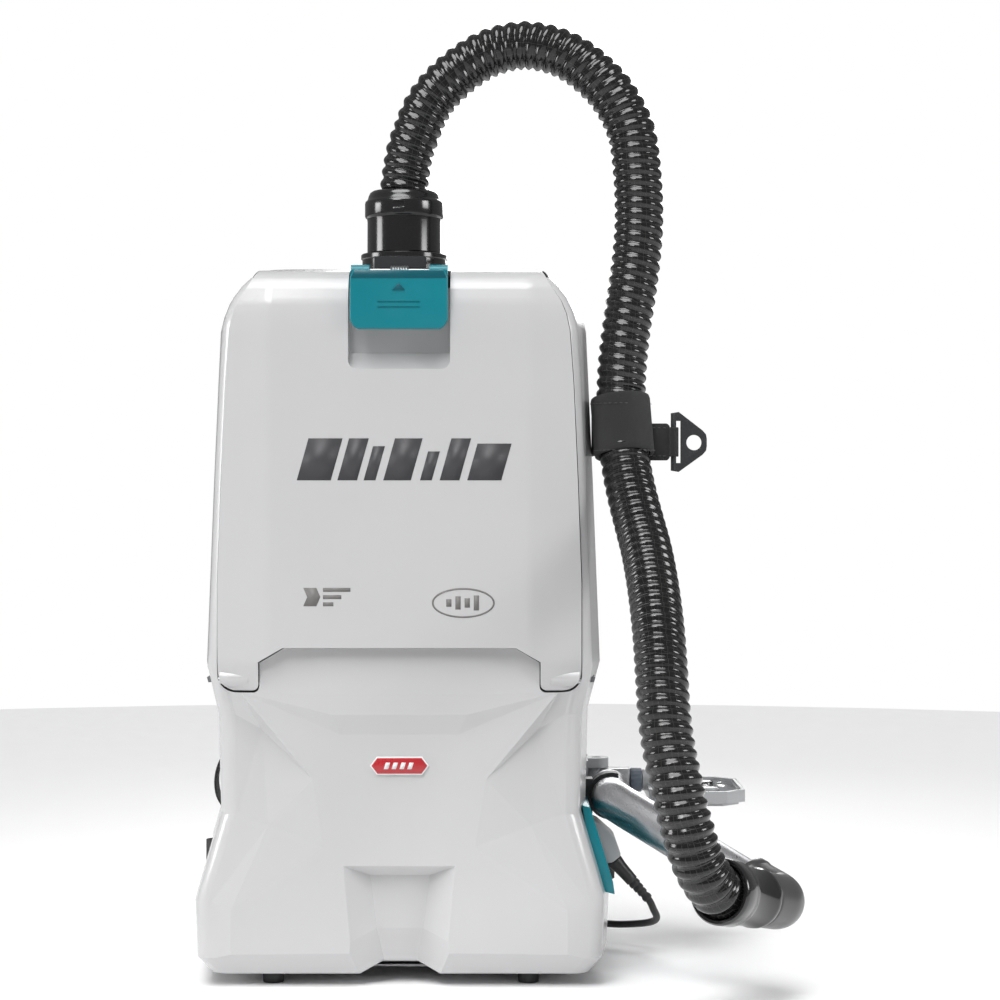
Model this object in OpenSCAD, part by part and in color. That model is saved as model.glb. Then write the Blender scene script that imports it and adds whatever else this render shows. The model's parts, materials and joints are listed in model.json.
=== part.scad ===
/* [Body] */
// Width of the body at its flared base
body_w = 328; // [326:1:330]
// Height of the body above the floor, feet included
body_h = 558; // [556:1:560]
// Distance from the front skin to the back skin
body_d = 168; // [166:1:170]
// Wall thickness of the housing shells
wall = 3; // [2.8:0.1:3.2]
// Height of the rubber feet
foot_h = 6; // [5.5:0.5:6.5]

/* [Lid] */
// Width of the lid at its widest
lid_w = 288; // [286:1:289]
// Gap between the lid and the housing rim
lid_gap = 0.6; // [0.5:0.1:0.8]
// Width of the latch lever
latch_w = 75; // [73:1:76]

/* [Hose] */
// Outside diameter of the hose
hose_d = 39; // [38.5:0.1:39.2]
// Wall of the hose
hose_wall = 1.6; // [1.2:0.1:2]
// Outside diameter of the bent pipe
pipe_d = 32; // [31.8:0.1:32.2]

/* [Battery] */
// Length of the battery pack
battery_l = 98; // [94:1:100]
// Width of the battery pack, front to back
battery_w = 82; // [80:1:84]
// Height of the battery pack
battery_h = 66; // [64:1:68]

/* [Control arm] */
// Width of the control panel
panel_w = 82; // [80:1:83]
// Depth of the control panel
panel_l = 112; // [108:1:114]

/* [Hidden] */

half_w = body_w / 2;
front_y = -body_d / 2;
back_y = body_d / 2;
part_y = 20;
seat_y = -56;
corner_r = 22;
rise = body_h - foot_h;

// Body outline by height: share of the rise, then how far width, front and back step in
body_steps = [
    [0.000, 9, 8, 6], [0.022, 1, 0, 0], [0.098, 0, 0, 0], [0.225, 20, 5, 0], [0.366, 16.5, 3, 0],
    [0.435, 6.5, -1, 0], [0.696, 13, -1, 0], [0.841, 17, 0, 0], [0.913, 18, 1, 0], [0.942, 22, 3, 3],
    [0.982, 40, 12, 16], [1.000, 50, 18, 24]];
// Lid crown by height: share of the rise, then how far width and front step in
lid_steps = [
    [0.380, 14, 4], [0.402, 14, -2], [0.442, 13, -10], [0.696, 19, -10], [0.841, 23, -9.5],
    [0.913, 24, -8], [0.942, 28, -5], [0.982, 46, 4], [1.000, 56, 10]];
lid_corner_r = 26;

hinge_y = -82;
hinge_z = 236;
leg_in = 108;
leg_foot = 228;
tongue_half = 89;
tongue_z = 261;
lid_top = 556;
lid_back = -58;

latch_y = -84;
latch_z = 549;
latch_low = 504;

port_x = 0;
port_y = 10;
port_bore_r = 26;

motor_x = 40;
motor_y = 10;
deck_z = 232;

battery_out = -152;
battery_z = 42;

pipe_y0 = 2;
pipe_z = 134;
pipe_x = 167;
pipe_end_y = 72;
cuff_end = [267, -155, 80];
cuff_mouth = [243, -188, 89];
elbow_at = cuff_end + 39 * unit(cuff_end - cuff_mouth);

arm_y = 101;
arm_z = 139;
arm_pivot_x = 158;
panel_x = 197;
panel_top = 135.5;
panel_h = 9.5;
button_r = 8;
speed_button_at = [250, 78];
power_button_at = [250, 124];

screw_x = 134;
screw_z = [128, 300, 500];

holder_x = 213;
holder_y = -40;
holder_z = 419;

// Route of the hose, from the inlet to the end cuff
hose_route = [
    [0, 10, 603], [0, 10, 624], [2, 10, 640], [5, 9, 655], [10, 8, 669], [16, 7, 684], [24, 6, 697],
    [34, 4, 708], [47, 2, 719], [63, 0, 729], [80, -2, 735], [96, -4, 737], [111, -6, 735],
    [126, -8, 730], [140, -10, 722], [153, -12, 711], [164, -14, 699], [173, -15, 685], [179, -16, 672],
    [183, -17, 658], [186, -19, 630], [187, -22, 598], [185, -25, 568], [181, -28, 538],
    [176, -31, 506], [173, -34, 478], [172, -37, 456], [172, -41, 438], [173, -46, 424],
    [175, -56, 401], [179, -71, 377], [184, -90, 354], [188, -112, 334], [191, -141, 308],
    [193, -169, 278], [194, -189, 248], [195, -202, 220], [198, -210, 195], [202, -215, 175],
    [206, -217, 156], [211, -217, 138], [217, -214, 119], [225, -209, 103], [234.4, -199.8, 92.2], [243, -188, 89]];
hose_sides = 10;

// Route of the control cable, from the strain relief to the arm bracket
cable_route = [
    [198, 46, 48], [203, 52, 38], [206, 60, 31], [205, 70, 26], [199, 82, 22], [189, 94, 19],
    [176, 104, 17], [162, 111, 17], [150, 115, 19], [139, 119, 25], [131, 122, 36], [127, 123, 52],
    [127, 122, 70], [130, 119, 88], [135, 114, 103], [140, 108, 116]];
cable_d = 6;
cable_sides = 8;

// Centre line of a shoulder strap in depth and height
strap_route = [
    [98, 508], [112, 516], [128, 508], [140, 488], [148, 460], [152, 425], [152, 385], [149, 345],
    [143, 308], [134, 275], [124, 248]];

// Centre lines of the lower webbing, on the right and on the left
web_right = [[92, 119, 245], [104, 117, 215], [122, 112, 188], [140, 106, 166], [146, 103, 161]];
web_left = [[92, 119, 245], [106, 117, 220], [128, 112, 192], [150, 106, 168], [160, 103, 148],
    [160, 102, 128], [150, 99, 110]];

function lerp(a, b, t) = a + (b - a) * t;
function unit(v) = v / norm(v);
function last(v) = v[len(v) - 1];
function flip_x(v) = [for (i = [len(v) - 1 : -1 : 0]) [-v[i][0], v[i][1]]];

// One rounded rectangle of a shell, as a ring of points at height z
function rounded_ring(w, f, b, r, z, n = 5) = [
    for (c = [[w - r, f + r, -90], [w - r, b - r, 0], [-w + r, b - r, 90], [-w + r, f + r, 180]])
        for (i = [0 : n - 1])
            let(a = c[2] + 90 * i / (n - 1)) [c[0] + r * cos(a), c[1] + r * sin(a), z]];

function body_ring(s, t) = rounded_ring(half_w - s[1] - t, front_y + s[2] + t, back_y - s[3] - t,
    corner_r - t, foot_h + t + s[0] * (rise - 2 * t));
function lid_ring(s, t) = rounded_ring(half_w - s[1] - t, front_y + s[2] + t, 30, lid_corner_r - t,
    foot_h + s[0] * rise - (s[0] > 0.8 ? t : 0));

// A closed skin through rings of equal point count
module skin(rings) {
    n = len(rings[0]);
    m = len(rings);
    polyhedron(
        points = [for (ring = rings) each ring],
        faces = concat(
            [[for (i = [0 : n - 1]) i]],
            [[for (i = [n - 1 : -1 : 0]) (m - 1) * n + i]],
            [for (k = [0 : m - 2]) for (i = [0 : n - 1])
                each [[k * n + i, (k + 1) * n + i, k * n + (i + 1) % n],
                    [k * n + (i + 1) % n, (k + 1) * n + i, (k + 1) * n + (i + 1) % n]]]),
        convexity = 6);
}

module body_form(t = 0) {
    skin([for (s = body_steps) body_ring(s, t)]);
}

module lid_form(t = 0) {
    skin([for (s = lid_steps) lid_ring(s, t)]);
}

// Right half of the lid outline, grown by g, with its legs grown by foot
function lid_half(g, foot, top) = [
    [tongue_half - 0.4 * g, tongue_z - g], [leg_in - g, 250 - g], [leg_in - g, leg_foot - foot],
    [lid_w / 2 + g, leg_foot - foot], [lid_w / 2 + g, 300], [lid_w / 2 - 7 + g, 504],
    [lid_w / 2 - 13 + g, 525], [lid_w / 2 - 32 + g, top]];
function lid_outline(g, foot, top) = concat(lid_half(g, foot, top), flip_x(lid_half(g, foot, top)));

// An outline in x and z, extruded from depth y0 to y1
module slab(outline, y0, y1) {
    translate([0, y1, 0]) rotate([90, 0, 0]) linear_extrude(y1 - y0) polygon(outline);
}

// A box from corner a to corner b
module block(a, b) {
    translate(a) cube(b - a);
}

// A cylinder from point a to point b
module rod(a, b, r, fn = 48) {
    d = b - a;
    translate(a) rotate([0, acos(d[2] / norm(d)), atan2(d[1], d[0])]) cylinder(h = norm(d), r = r, $fn = fn);
}

// A block with round vertical edges
module soft_block(a, b, r) {
    translate([0, 0, a[2]]) linear_extrude(b[2] - a[2]) {
        translate([a[0], a[1] + r]) square([b[0] - a[0], b[1] - a[1] - 2 * r]);
        translate([a[0] + r, a[1]]) square([b[0] - a[0] - 2 * r, b[1] - a[1]]);
        for (x = [a[0] + r, b[0] - r]) for (y = [a[1] + r, b[1] - r]) translate([x, y]) circle(r, $fn = 32);
    }
}

// Frame of a route at point i: forward, side and up directions
function heading(p, i) = unit(p[min(i + 1, len(p) - 1)] - p[max(i - 1, 0)]);
function side_of(d) = abs(d[1]) > 0.95 ? unit(cross(d, [1, 0, 0])) : unit(cross(d, [0, 1, 0]));
function tube_ring(p, i, r, n) =
    let(d = heading(p, i), u = side_of(d), v = cross(d, u))
    [for (k = [0 : n - 1]) p[i] + r * (cos(360 * k / n) * u + sin(360 * k / n) * v)];

// A hollow tube swept along a route
module hollow_tube(p, r, t, n) {
    m = len(p);
    outer = [for (i = [0 : m - 1]) each tube_ring(p, i, r, n)];
    inner = [for (i = [0 : m - 1]) each tube_ring(p, i, r - t, n)];
    s = m * n;
    e = (m - 1) * n;
    polyhedron(
        points = concat(outer, inner),
        faces = concat(
            [for (k = [0 : m - 2]) for (i = [0 : n - 1])
                let(j = (i + 1) % n, a = k * n + i, b = k * n + j, c = a + n, d = b + n)
                each [[a, c, b], [b, c, d], [s + a, s + b, s + c], [s + b, s + d, s + c]]],
            [for (i = [0 : n - 1]) let(j = (i + 1) % n)
                each [[i, j, s + i], [j, s + j, s + i], [e + i, s + e + i, e + j], [e + j, s + e + i, s + e + j]]]),
        convexity = 10);
}

// A solid tube swept along a route
module solid_tube(p, r, n) {
    skin([for (i = [0 : len(p) - 1]) tube_ring(p, i, r, n)]);
}

module lid_opening(g, foot) {
    slab(lid_outline(g, foot, 575), -130, seat_y);
}

module side_bores(r) {
    for (s = [-1, 1]) rod([s * 118, hinge_y, hinge_z], [s * 154, hinge_y, hinge_z], r);
}

// Places a copy of the child at each case screw, mirrored to both sides
module screw_places() {
    for (s = [0, 1]) for (z = screw_z) mirror([s, 0, 0]) translate([screw_x, 0, z]) children();
}

// A screw boss with the rib that ties it to the side wall
module boss(y0, y1) {
    rod([0, y0, 0], [0, y1, 0], 5, 32);
    block([0, y0, -1.5], [24, y1, 1.5]);
}

module battery_hole(g) {
    soft_block([-half_w - 10, -battery_w / 2 - g, battery_z - g],
        [battery_out + battery_l + g, battery_w / 2 + g, battery_z + battery_h + g], 1);
}

module housing_common() {
    difference() {
        body_form(0);
        body_form(wall);
    }
}

module main_housing() {
    color("gainsboro") difference() {
        union() {
            difference() {
                intersection() {
                    housing_common();
                    block([-200, -120, 0], [200, part_y, 600]);
                }
                lid_opening(lid_gap, 1.6);
            }
            intersection() {
                body_form(0);
                union() {
                    difference() {
                        slab(lid_outline(lid_gap + 2.6, 4.2, 575), front_y + 2, seat_y);
                        lid_opening(lid_gap, 1.6);
                    }
                    difference() {
                        slab(lid_outline(lid_gap + 2.6, 4.2, 575), seat_y, seat_y + 3);
                        slab(lid_outline(-6, -6, 548), seat_y - 1, seat_y + 4);
                    }
                    for (s = [-1, 1]) rod([s * 144.6, hinge_y, hinge_z], [s * 152, hinge_y, hinge_z], 7);
                    screw_places() boss(0, part_y);
                }
            }
        }
        side_bores(3);
        screw_places() rod([0, 4, 0], [0, part_y + 1, 0], 1.9, 24);
        translate([port_x, port_y, body_h - 8]) cylinder(h = 20, r = 30, $fn = 64);
        battery_hole(1.2);
        block([half_w - 40, -38, 78], [half_w + 20, 14, 116]);
    }
}

module back_shell() {
    color("gainsboro") difference() {
        union() {
            intersection() {
                housing_common();
                block([-200, part_y, 0], [200, 120, 600]);
            }
            intersection() {
                body_form(0);
                screw_places() boss(part_y, back_y - 1);
            }
        }
        screw_places() {
            rod([0, part_y - 1, 0], [0, back_y + 1, 0], 2, 24);
            rod([0, back_y - 6, 0], [0, back_y + 1, 0], 4, 24);
        }
        translate([port_x, port_y, body_h - 8]) cylinder(h = 20, r = 30, $fn = 64);
        battery_hole(1.2);
    }
}

module latch_recess(d) {
    slab([[-39 - d, 480 - d], [-33 - d, 474 - d], [33 + d, 474 - d], [39 + d, 480 - d], [39 + d, 575], [-39 - d, 575]],
        -130, -76 + d);
}

module lid_cover() {
    color("whitesmoke") difference() {
        union() {
            difference() {
                intersection() {
                    slab(lid_outline(0, 0, lid_top), -130, lid_back);
                    lid_form(0);
                }
                difference() {
                    intersection() {
                        slab(lid_outline(-wall, -wall, lid_top - wall), -130, lid_back + 1);
                        lid_form(wall);
                    }
                    latch_recess(wall);
                }
            }
            intersection() {
                slab(lid_outline(0, 0, lid_top), -130, lid_back);
                lid_form(0);
                for (s = [-1, 1]) block([s * 132 - 12, -95, 226], [s * 132 + 12, -66, 246]);
            }
        }
        latch_recess(0);
        block([-39, -90, 536], [39, -50, 570]);
        side_bores(3.05);
        rod([-46, latch_y, latch_z], [46, latch_y, latch_z], 2.5);
    }
}

module lid_hinge_pins() {
    color("silver") for (s = [-1, 1]) rod([s * 122, hinge_y, hinge_z], [s * 151, hinge_y, hinge_z], 3);
}

module lid_gasket() {
    color("dimgray") intersection() {
        body_form(wall);
        difference() {
            slab(lid_outline(-0.5, -0.5, 552), lid_back + 0.2, seat_y);
            slab(lid_outline(-4, -4, 548), lid_back - 1, seat_y + 1);
            block([-200, -80, 200], [200, -40, 248]);
        }
    }
}

module latch_lever() {
    w = latch_w / 2;
    color("teal") difference() {
        union() {
            slab([[-w, latch_low + 6], [-w + 6, latch_low], [w - 6, latch_low], [w, latch_low + 6],
                [w, 551], [-w, 551]], -100, -94);
            for (s = [-1, 1]) block([s * 30 - 7, -95, 545], [s * 30 + 7, -84, 551]);
            for (s = [-1, 1]) rod([s * 30 - 7, latch_y, latch_z], [s * 30 + 7, latch_y, latch_z], 5.2);
            block([-22, -96, 549], [22, -70, 552]);
        }
        rod([-50, latch_y, latch_z], [50, latch_y, latch_z], 2.54);
        block([-14, -91, 541], [14, -76, 556]);
    }
}

module latch_pin() {
    color("silver") rod([-44, latch_y, latch_z], [44, latch_y, latch_z], 2.5);
}

module latch_spring() {
    turns = 7;
    pitch = 2;
    color("silver") translate([-turns * pitch / 2, latch_y, latch_z]) rotate([0, 90, 0])
        rotate_extrude($fn = 24) polygon(concat(
            [for (i = [0 : 2 * turns]) [i % 2 == 0 ? 4 : 4.8, i * pitch / 2]],
            [[2.9, turns * pitch], [2.9, 0]]));
}

module lid_catch() {
    color("dimgray") difference() {
        union() {
            block([-20, -62, 559], [20, -36, 562]);
            block([-20, -72, 553.2], [20, -68.5, 562]);
            block([-20, -72, 559], [20, -60, 562]);
        }
        body_form(0);
    }
}

module feet() {
    color("dimgray") for (x = [-99, 99]) for (y = [-58, 58])
        translate([x, y, 0]) cylinder(h = foot_h, r = 8, $fn = 48);
}

module badge() {
    color("firebrick") difference() {
        slab([[-22, 170.5], [-17, 164], [17, 164], [22, 170.5], [17, 177], [-17, 177]], front_y + 2, front_y + 6);
        body_form(0);
    }
}

module inlet_port() {
    color("black") translate([port_x, port_y, 0]) difference() {
        rotate_extrude($fn = 96) polygon([
            [port_bore_r, 519], [29.5, 519], [29.5, body_h], [33.5, body_h], [33.5, 567], [34.5, 567.6],
            [34.5, 570.4], [33.5, 571], [port_bore_r, 571]]);
        translate([0, 0, 562]) rotate_extrude($fn = 96) translate([25, -1.6]) square([3, 3.2]);
    }
}

module port_seal() {
    color("dimgray") translate([port_x, port_y, 560.4])
        rotate_extrude($fn = 96) translate([port_bore_r, 0]) square([2, 3.2]);
}

module hose_cuff() {
    color("black") translate([port_x, port_y, 0]) difference() {
        rotate_extrude($fn = 96) polygon([
            [16, 545], [port_bore_r - 0.06, 545], [port_bore_r - 0.06, 571.3], [29.5, 571.3], [29.5, 600],
            [31.3, 600.6], [31.3, 613.4], [30.6, 614], [29, 615], [27.5, 620], [25, 622],
            [20.1, 622], [20.1, 602], [16, 602]]);
        block([-11, -34, 606], [1, -29.6, 611]);
    }
}

module hose() {
    color("black") hollow_tube(hose_route, hose_d / 2, hose_wall, hose_sides);
}

module end_cuff() {
    aim = unit(cuff_end - cuff_mouth);
    color("black") difference() {
        union() {
            rod(cuff_mouth - 14 * aim, cuff_mouth + 4 * aim, 24.5, 64);
            rod(cuff_mouth, cuff_end, 21.5, 64);
        }
        rod(cuff_mouth - 16 * aim, cuff_mouth + aim, 22, 64);
        solid_tube(hose_route, hose_d / 2 + 0.5, hose_sides);
        rod(cuff_mouth - aim, cuff_end + aim, 16.05, 64);
    }
}

module elbow() {
    aim = unit(cuff_end - cuff_mouth);
    pipe_aim = unit([pipe_x, pipe_y0, pipe_z] - elbow_at);
    color("dimgray") difference() {
        union() {
            rod(cuff_mouth + 10 * aim, elbow_at, 16, 64);
            rod(cuff_end + 0.3 * aim, elbow_at, 21, 64);
            translate(elbow_at) sphere(22.5, $fn = 64);
            rod(elbow_at, elbow_at + 36 * pipe_aim, 20, 64);
        }
        rod(cuff_mouth, elbow_at, 13.5, 64);
        translate(elbow_at) sphere(16, $fn = 64);
        rod(elbow_at + 16 * pipe_aim, elbow_at + 40 * pipe_aim, pipe_d / 2, 64);
        rod(elbow_at, elbow_at + 20 * pipe_aim, 14, 64);
    }
}

module bent_pipe() {
    bend = [pipe_x, pipe_y0, pipe_z];
    pipe_aim = unit(bend - elbow_at);
    color("silver") difference() {
        union() {
            rod(elbow_at + 16 * pipe_aim, bend, pipe_d / 2, 64);
            translate(bend) sphere(pipe_d / 2 + 0.5, $fn = 64);
            rod(bend, [pipe_x, pipe_end_y, pipe_z], pipe_d / 2, 64);
            rod([pipe_x, pipe_end_y - 26, pipe_z], [pipe_x, pipe_end_y, pipe_z], pipe_d / 2 + 1.2, 64);
        }
        rod([pipe_x, pipe_end_y - 25, pipe_z], [pipe_x, pipe_end_y + 1, pipe_z], pipe_d / 2 - 0.7, 64);
        rod(elbow_at + 15 * pipe_aim, bend, pipe_d / 2 - 1.5, 64);
        translate(bend) sphere(pipe_d / 2 - 1, $fn = 64);
        rod(bend, [pipe_x, pipe_end_y + 1, pipe_z], pipe_d / 2 - 1.5, 64);
    }
}

module pipe_clip() {
    color("dimgray") difference() {
        union() {
            rod([pipe_x, 26, pipe_z], [pipe_x, 44, pipe_z], 19, 64);
            block([140, 26, 120], [152, 44, 148]);
        }
        rod([pipe_x, 25, pipe_z], [pipe_x, 45, pipe_z], pipe_d / 2, 64);
        block([pipe_x + 6, 24, 100], [200, 46, 170]);
        body_form(0);
    }
}

module hose_strap() {
    lean = unit([-3, 12, 46]);
    mid = [173, -42, 431];
    color("black") difference() {
        union() {
            rod(mid - 23 * lean, mid + 23 * lean, 24, 64);
            linear_extrude_at(408, 46) polygon([[150, 12], [148, 12], [148, -12], [158, -42], [160, -30], [150.5, -10]]);
            block([190, holder_y - 2, 405], [210, holder_y + 2, 434]);
            rod([holder_x, holder_y, 408], [holder_x, holder_y, 431], 3.8, 48);
        }
        solid_tube(hose_route, hose_d / 2 + 0.4, hose_sides);
        rod(mid - 30 * lean, mid + 30 * lean, 20.6, 64);
        rod([holder_x, holder_y, 400], [holder_x, holder_y, 440], 2.3, 48);
        body_form(0);
    }
}

module linear_extrude_at(z, h) {
    translate([0, 0, z]) linear_extrude(h) children();
}

module holder_ring() {
    t = 3.6;
    color("black") difference() {
        union() {
            rod([holder_x, holder_y, 397], [holder_x, holder_y, 442], 2.2, 48);
            slab([[holder_x - 2, 397], [holder_x + 4, 396], [235, 409], [239, 414], [239, 424], [235, 429],
                [holder_x + 4, 443], [holder_x - 2, 442]], holder_y - t / 2, holder_y + t / 2);
        }
        difference() {
            block([holder_x - 8, holder_y - 5, 403], [holder_x + 5.5, holder_y + 5, 436]);
            rod([holder_x, holder_y, 397], [holder_x, holder_y, 442], 2.2, 48);
        }
        rod([229, holder_y - 5, holder_z], [229, holder_y + 5, holder_z], 6, 48);
    }
}

module bag_bracket() {
    color("dimgray") difference() {
        union() {
            block([-58, -44, 527], [58, 73, 530]);
            for (s = [-1, 1]) block([s * 56.5 - 1.5, -44, 519], [s * 56.5 + 1.5, 73, 528]);
            for (s = [-1, 1]) block([s * 53 - 5, -44, 519], [s * 53 + 5, 73, 521]);
        }
        translate([port_x, port_y, 520]) cylinder(h = 20, r = 30.5, $fn = 64);
    }
}

module bag_card() {
    color("tan") difference() {
        block([-54.5, -42, 521.5], [54.5, 70, 526.5]);
        translate([port_x, port_y, 515]) cylinder(h = 20, r = 29.6, $fn = 64);
    }
}

module dust_bag() {
    color("linen") difference() {
        soft_block([-112, -48, 276], [112, 68, 518.5], 20);
        soft_block([-110.5, -46.5, 277.5], [110.5, 66.5, 517], 18.5);
        translate([port_x, port_y, 510]) cylinder(h = 20, r = 29.6, $fn = 64);
    }
}

module motor_deck() {
    color("gray") difference() {
        intersection() {
            body_form(wall + 0.3);
            block([-170, seat_y + 4, deck_z], [170, 90, deck_z + 4]);
        }
        translate([motor_x, motor_y, deck_z - 1]) cylinder(h = 6, r = 28, $fn = 64);
    }
}

module filter_frame() {
    color("dimgray") difference() {
        block([-32, -44, deck_z + 4], [112, 64, 268]);
        block([-28, -40, deck_z + 7], [108, 60, 269]);
        translate([motor_x, motor_y, deck_z]) cylinder(h = 10, r = 28, $fn = 64);
    }
}

module filter_media() {
    pleat = 8;
    count = 17;
    color("white") translate([-28, 59.5, 239]) rotate([90, 0, 0]) linear_extrude(99) polygon(concat(
        [for (i = [0 : 2 * count]) [i * pleat / 2, i % 2 == 0 ? 0 : 22]],
        [for (i = [2 * count : -1 : 0]) [i * pleat / 2, (i % 2 == 0 ? 0 : 22) + 2]]));
}

module fan_housing() {
    color("dimgray") translate([motor_x, motor_y, 0]) difference() {
        union() {
            translate([0, 0, 180]) cylinder(h = 46, r = 60, $fn = 96);
            translate([0, 0, 225]) cylinder(h = 7, r = 34, $fn = 64);
            block([0, -58, 184], [88, -26, 222]);
        }
        translate([0, 0, 182.5]) cylinder(h = 41, r = 57.5, $fn = 96);
        translate([0, 0, 220]) cylinder(h = 20, r = 26, $fn = 64);
        translate([0, 0, 175]) cylinder(h = 10, r = 15, $fn = 64);
        block([0, -56, 186], [89, -28, 220]);
    }
}

module impeller() {
    blades = 9;
    color("silver") translate([motor_x, motor_y, 0]) difference() {
        union() {
            translate([0, 0, 188]) cylinder(h = 2.5, r = 52, $fn = 96);
            translate([0, 0, 188]) cylinder(h = 24, r = 9, $fn = 48);
            for (i = [0 : blades - 1]) rotate([0, 0, i * 360 / blades])
                translate([8, -1, 189]) cube([43, 2, 20]);
        }
        translate([0, 0, 180]) cylinder(h = 50, r = 4, $fn = 48);
    }
}

module motor_can() {
    color("dimgray") translate([motor_x, motor_y, 0]) difference() {
        translate([0, 0, 98]) cylinder(h = 82, r = 37, $fn = 96);
        translate([0, 0, 109]) cylinder(h = 60, r = 34.5, $fn = 96);
        translate([0, 0, 101]) cylinder(h = 10, r = 11, $fn = 48);
        translate([0, 0, 168]) cylinder(h = 10, r = 11, $fn = 48);
        translate([0, 0, 170]) cylinder(h = 12, r = 6, $fn = 48);
    }
}

module stator() {
    color("peru") translate([motor_x, motor_y, 116]) difference() {
        cylinder(h = 44, r = 34.5, $fn = 96);
        translate([0, 0, -1]) cylinder(h = 46, r = 22, $fn = 96);
        for (i = [0 : 5]) rotate([0, 0, 60 * i + 30]) translate([27, 0, -1]) cylinder(h = 46, r = 4, $fn = 24);
    }
}

module rotor() {
    color("silver") translate([motor_x, motor_y, 114]) difference() {
        cylinder(h = 48, r = 21.3, $fn = 96);
        translate([0, 0, -1]) cylinder(h = 50, r = 4, $fn = 48);
    }
}

module motor_shaft() {
    color("silver") translate([motor_x, motor_y, 102]) cylinder(h = 112, r = 4, $fn = 48);
}

module bearings() {
    color("silver") for (z = [101, 169]) translate([motor_x, motor_y, z]) difference() {
        cylinder(h = z > 120 ? 9 : 8, r = 11, $fn = 48);
        translate([0, 0, -1]) cylinder(h = 12, r = 4.03, $fn = 48);
    }
}

module motor_mounts() {
    color("black") for (i = [0 : 2]) rotate_about(120 * i)
        translate([27, 0, 0]) block([-6, -6, foot_h + wall], [6, 6, 98]);
}

module rotate_about(a) {
    translate([motor_x, motor_y, 0]) rotate([0, 0, a]) children();
}

module control_board() {
    color("green") {
        block([-30, 60, 30], [100, 62, 96]);
        block([-20, 54, 40], [10, 60, 60]);
        block([30, 52, 70], [60, 60, 90]);
        for (i = [0 : 3]) translate([72 + 7 * (i % 2), 0, 40 + 14 * floor(i / 2)]) rod([0, 50, 0], [0, 60, 0], 3, 24);
    }
}

module battery_bay() {
    g = 1.2;
    x0 = battery_out + 12;
    x1 = battery_out + battery_l + 2;
    color("dimgray") difference() {
        block([x0, -battery_w / 2 - 3, battery_z - 3], [x1 + 2, battery_w / 2 + 3, battery_z + battery_h + 3]);
        block([x0 - 1, -battery_w / 2 - g, battery_z - g], [x1, battery_w / 2 + g, battery_z + battery_h + g]);
        block([x1 - 1, -16, battery_z + 18], [x1 + 3, 16, battery_z + 50]);
    }
}

module terminal_block() {
    x1 = battery_out + battery_l + 2;
    color("black") block([x1 - 1, -16, battery_z + 18], [x1 + 8, 16, battery_z + 50]);
}

module battery_pack() {
    x0 = battery_out;
    color("black") difference() {
        soft_block([x0, -battery_w / 2, battery_z], [x0 + battery_l, battery_w / 2, battery_z + battery_h], 5);
        block([x0 - 1, -13.3, battery_z + 39.7], [x0 + 8, 13.3, battery_z + 54.3]);
    }
}

module battery_button() {
    x0 = battery_out;
    color("teal") soft_block([x0 - 1.5, -13, battery_z + 40], [x0 + 4, 13, battery_z + 54], 2);
}

module exhaust_cover() {
    color("teal") difference() {
        translate([0, 22, 0]) rotate([90, 0, 0]) linear_extrude(72)
            polygon([[half_w - 12, 70], [half_w + 3, 66], [half_w + 1.5, 76], [half_w - 16.5, 134], [half_w - 22, 136]]);
        body_form(0);
        for (i = [0 : 4]) block([half_w - 30, -42, 80 + 10 * i], [half_w + 9, 14, 84 + 10 * i]);
    }
}

module exhaust_foam() {
    color("black") intersection() {
        body_form(wall + 0.4);
        block([half_w - 22, -40, 76], [half_w, 17, 118]);
    }
}

module cable_cover() {
    color("lightgray") difference() {
        translate([0, 64, 0]) rotate([90, 0, 0]) linear_extrude(38)
            polygon([[half_w - 16, 80], [half_w + 6, 80], [half_w + 11, 86], [half_w + 6, 101], [half_w - 8, 114],
                [half_w - 20, 114]]);
        body_form(0);
    }
}

module strain_relief() {
    top = [166, 46, 84];
    tip = cable_route[0];
    color("black") difference() {
        union() {
            rod(top, lerp(top, tip, 0.45), 5.6, 32);
            rod(lerp(top, tip, 0.3), lerp(top, tip, 0.7), 4.6, 32);
            rod(lerp(top, tip, 0.6), tip, 3.8, 32);
        }
        block([150, 30, 80], [190, 60, 100]);
        solid_tube(cable_route, cable_d / 2 + 0.1, cable_sides);
    }
}

module control_cable() {
    color("black") solid_tube(cable_route, cable_d / 2, cable_sides);
}

module arm_bracket() {
    color("lightgray") difference() {
        union() {
            block([120, 70, 118], [150, 112, 158]);
            for (z = [118, 150]) soft_block([120, 90, z], [arm_pivot_x + 10, 112, z + 8], 9);
        }
        translate([arm_pivot_x, arm_y, 100]) cylinder(h = 80, r = 4.05, $fn = 48);
        rod([screw_x, 60, screw_z[0]], [screw_x, 88, screw_z[0]], 4.4, 32);
        body_form(0);
    }
}

module arm() {
    color("lightgray") {
        translate([arm_pivot_x, arm_y, 118.5]) cylinder(h = 39, r = 4, $fn = 48);
        difference() {
            union() {
                translate([arm_pivot_x, arm_y, 126.3]) cylinder(h = 23.4, r = 8, $fn = 48);
                block([arm_pivot_x, 92, 129], [186, 110, 149]);
            }
            rod([176, arm_y, arm_z], [190, arm_y, arm_z], 4.5, 48);
        }
    }
}

module clamp_knob() {
    color("slategray") {
        rod([186.2, arm_y, arm_z], [196, arm_y, arm_z], 10, 48);
        rod([177, arm_y, arm_z], [208, arm_y, arm_z], 4.45, 48);
    }
}

module panel_outline(g) {
    c = 16;
    x0 = panel_x + 3 + g;
    x1 = panel_x + panel_w - g;
    y0 = arm_y - panel_l / 2 + g;
    y1 = arm_y + panel_l / 2 - g;
    polygon([[x0 + c, y0], [x1 - c, y0], [x1, y0 + c], [x1, y1 - c], [x1 - c, y1], [x0 + c, y1], [x0, y1 - c], [x0, y0 + c]]);
}

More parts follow.
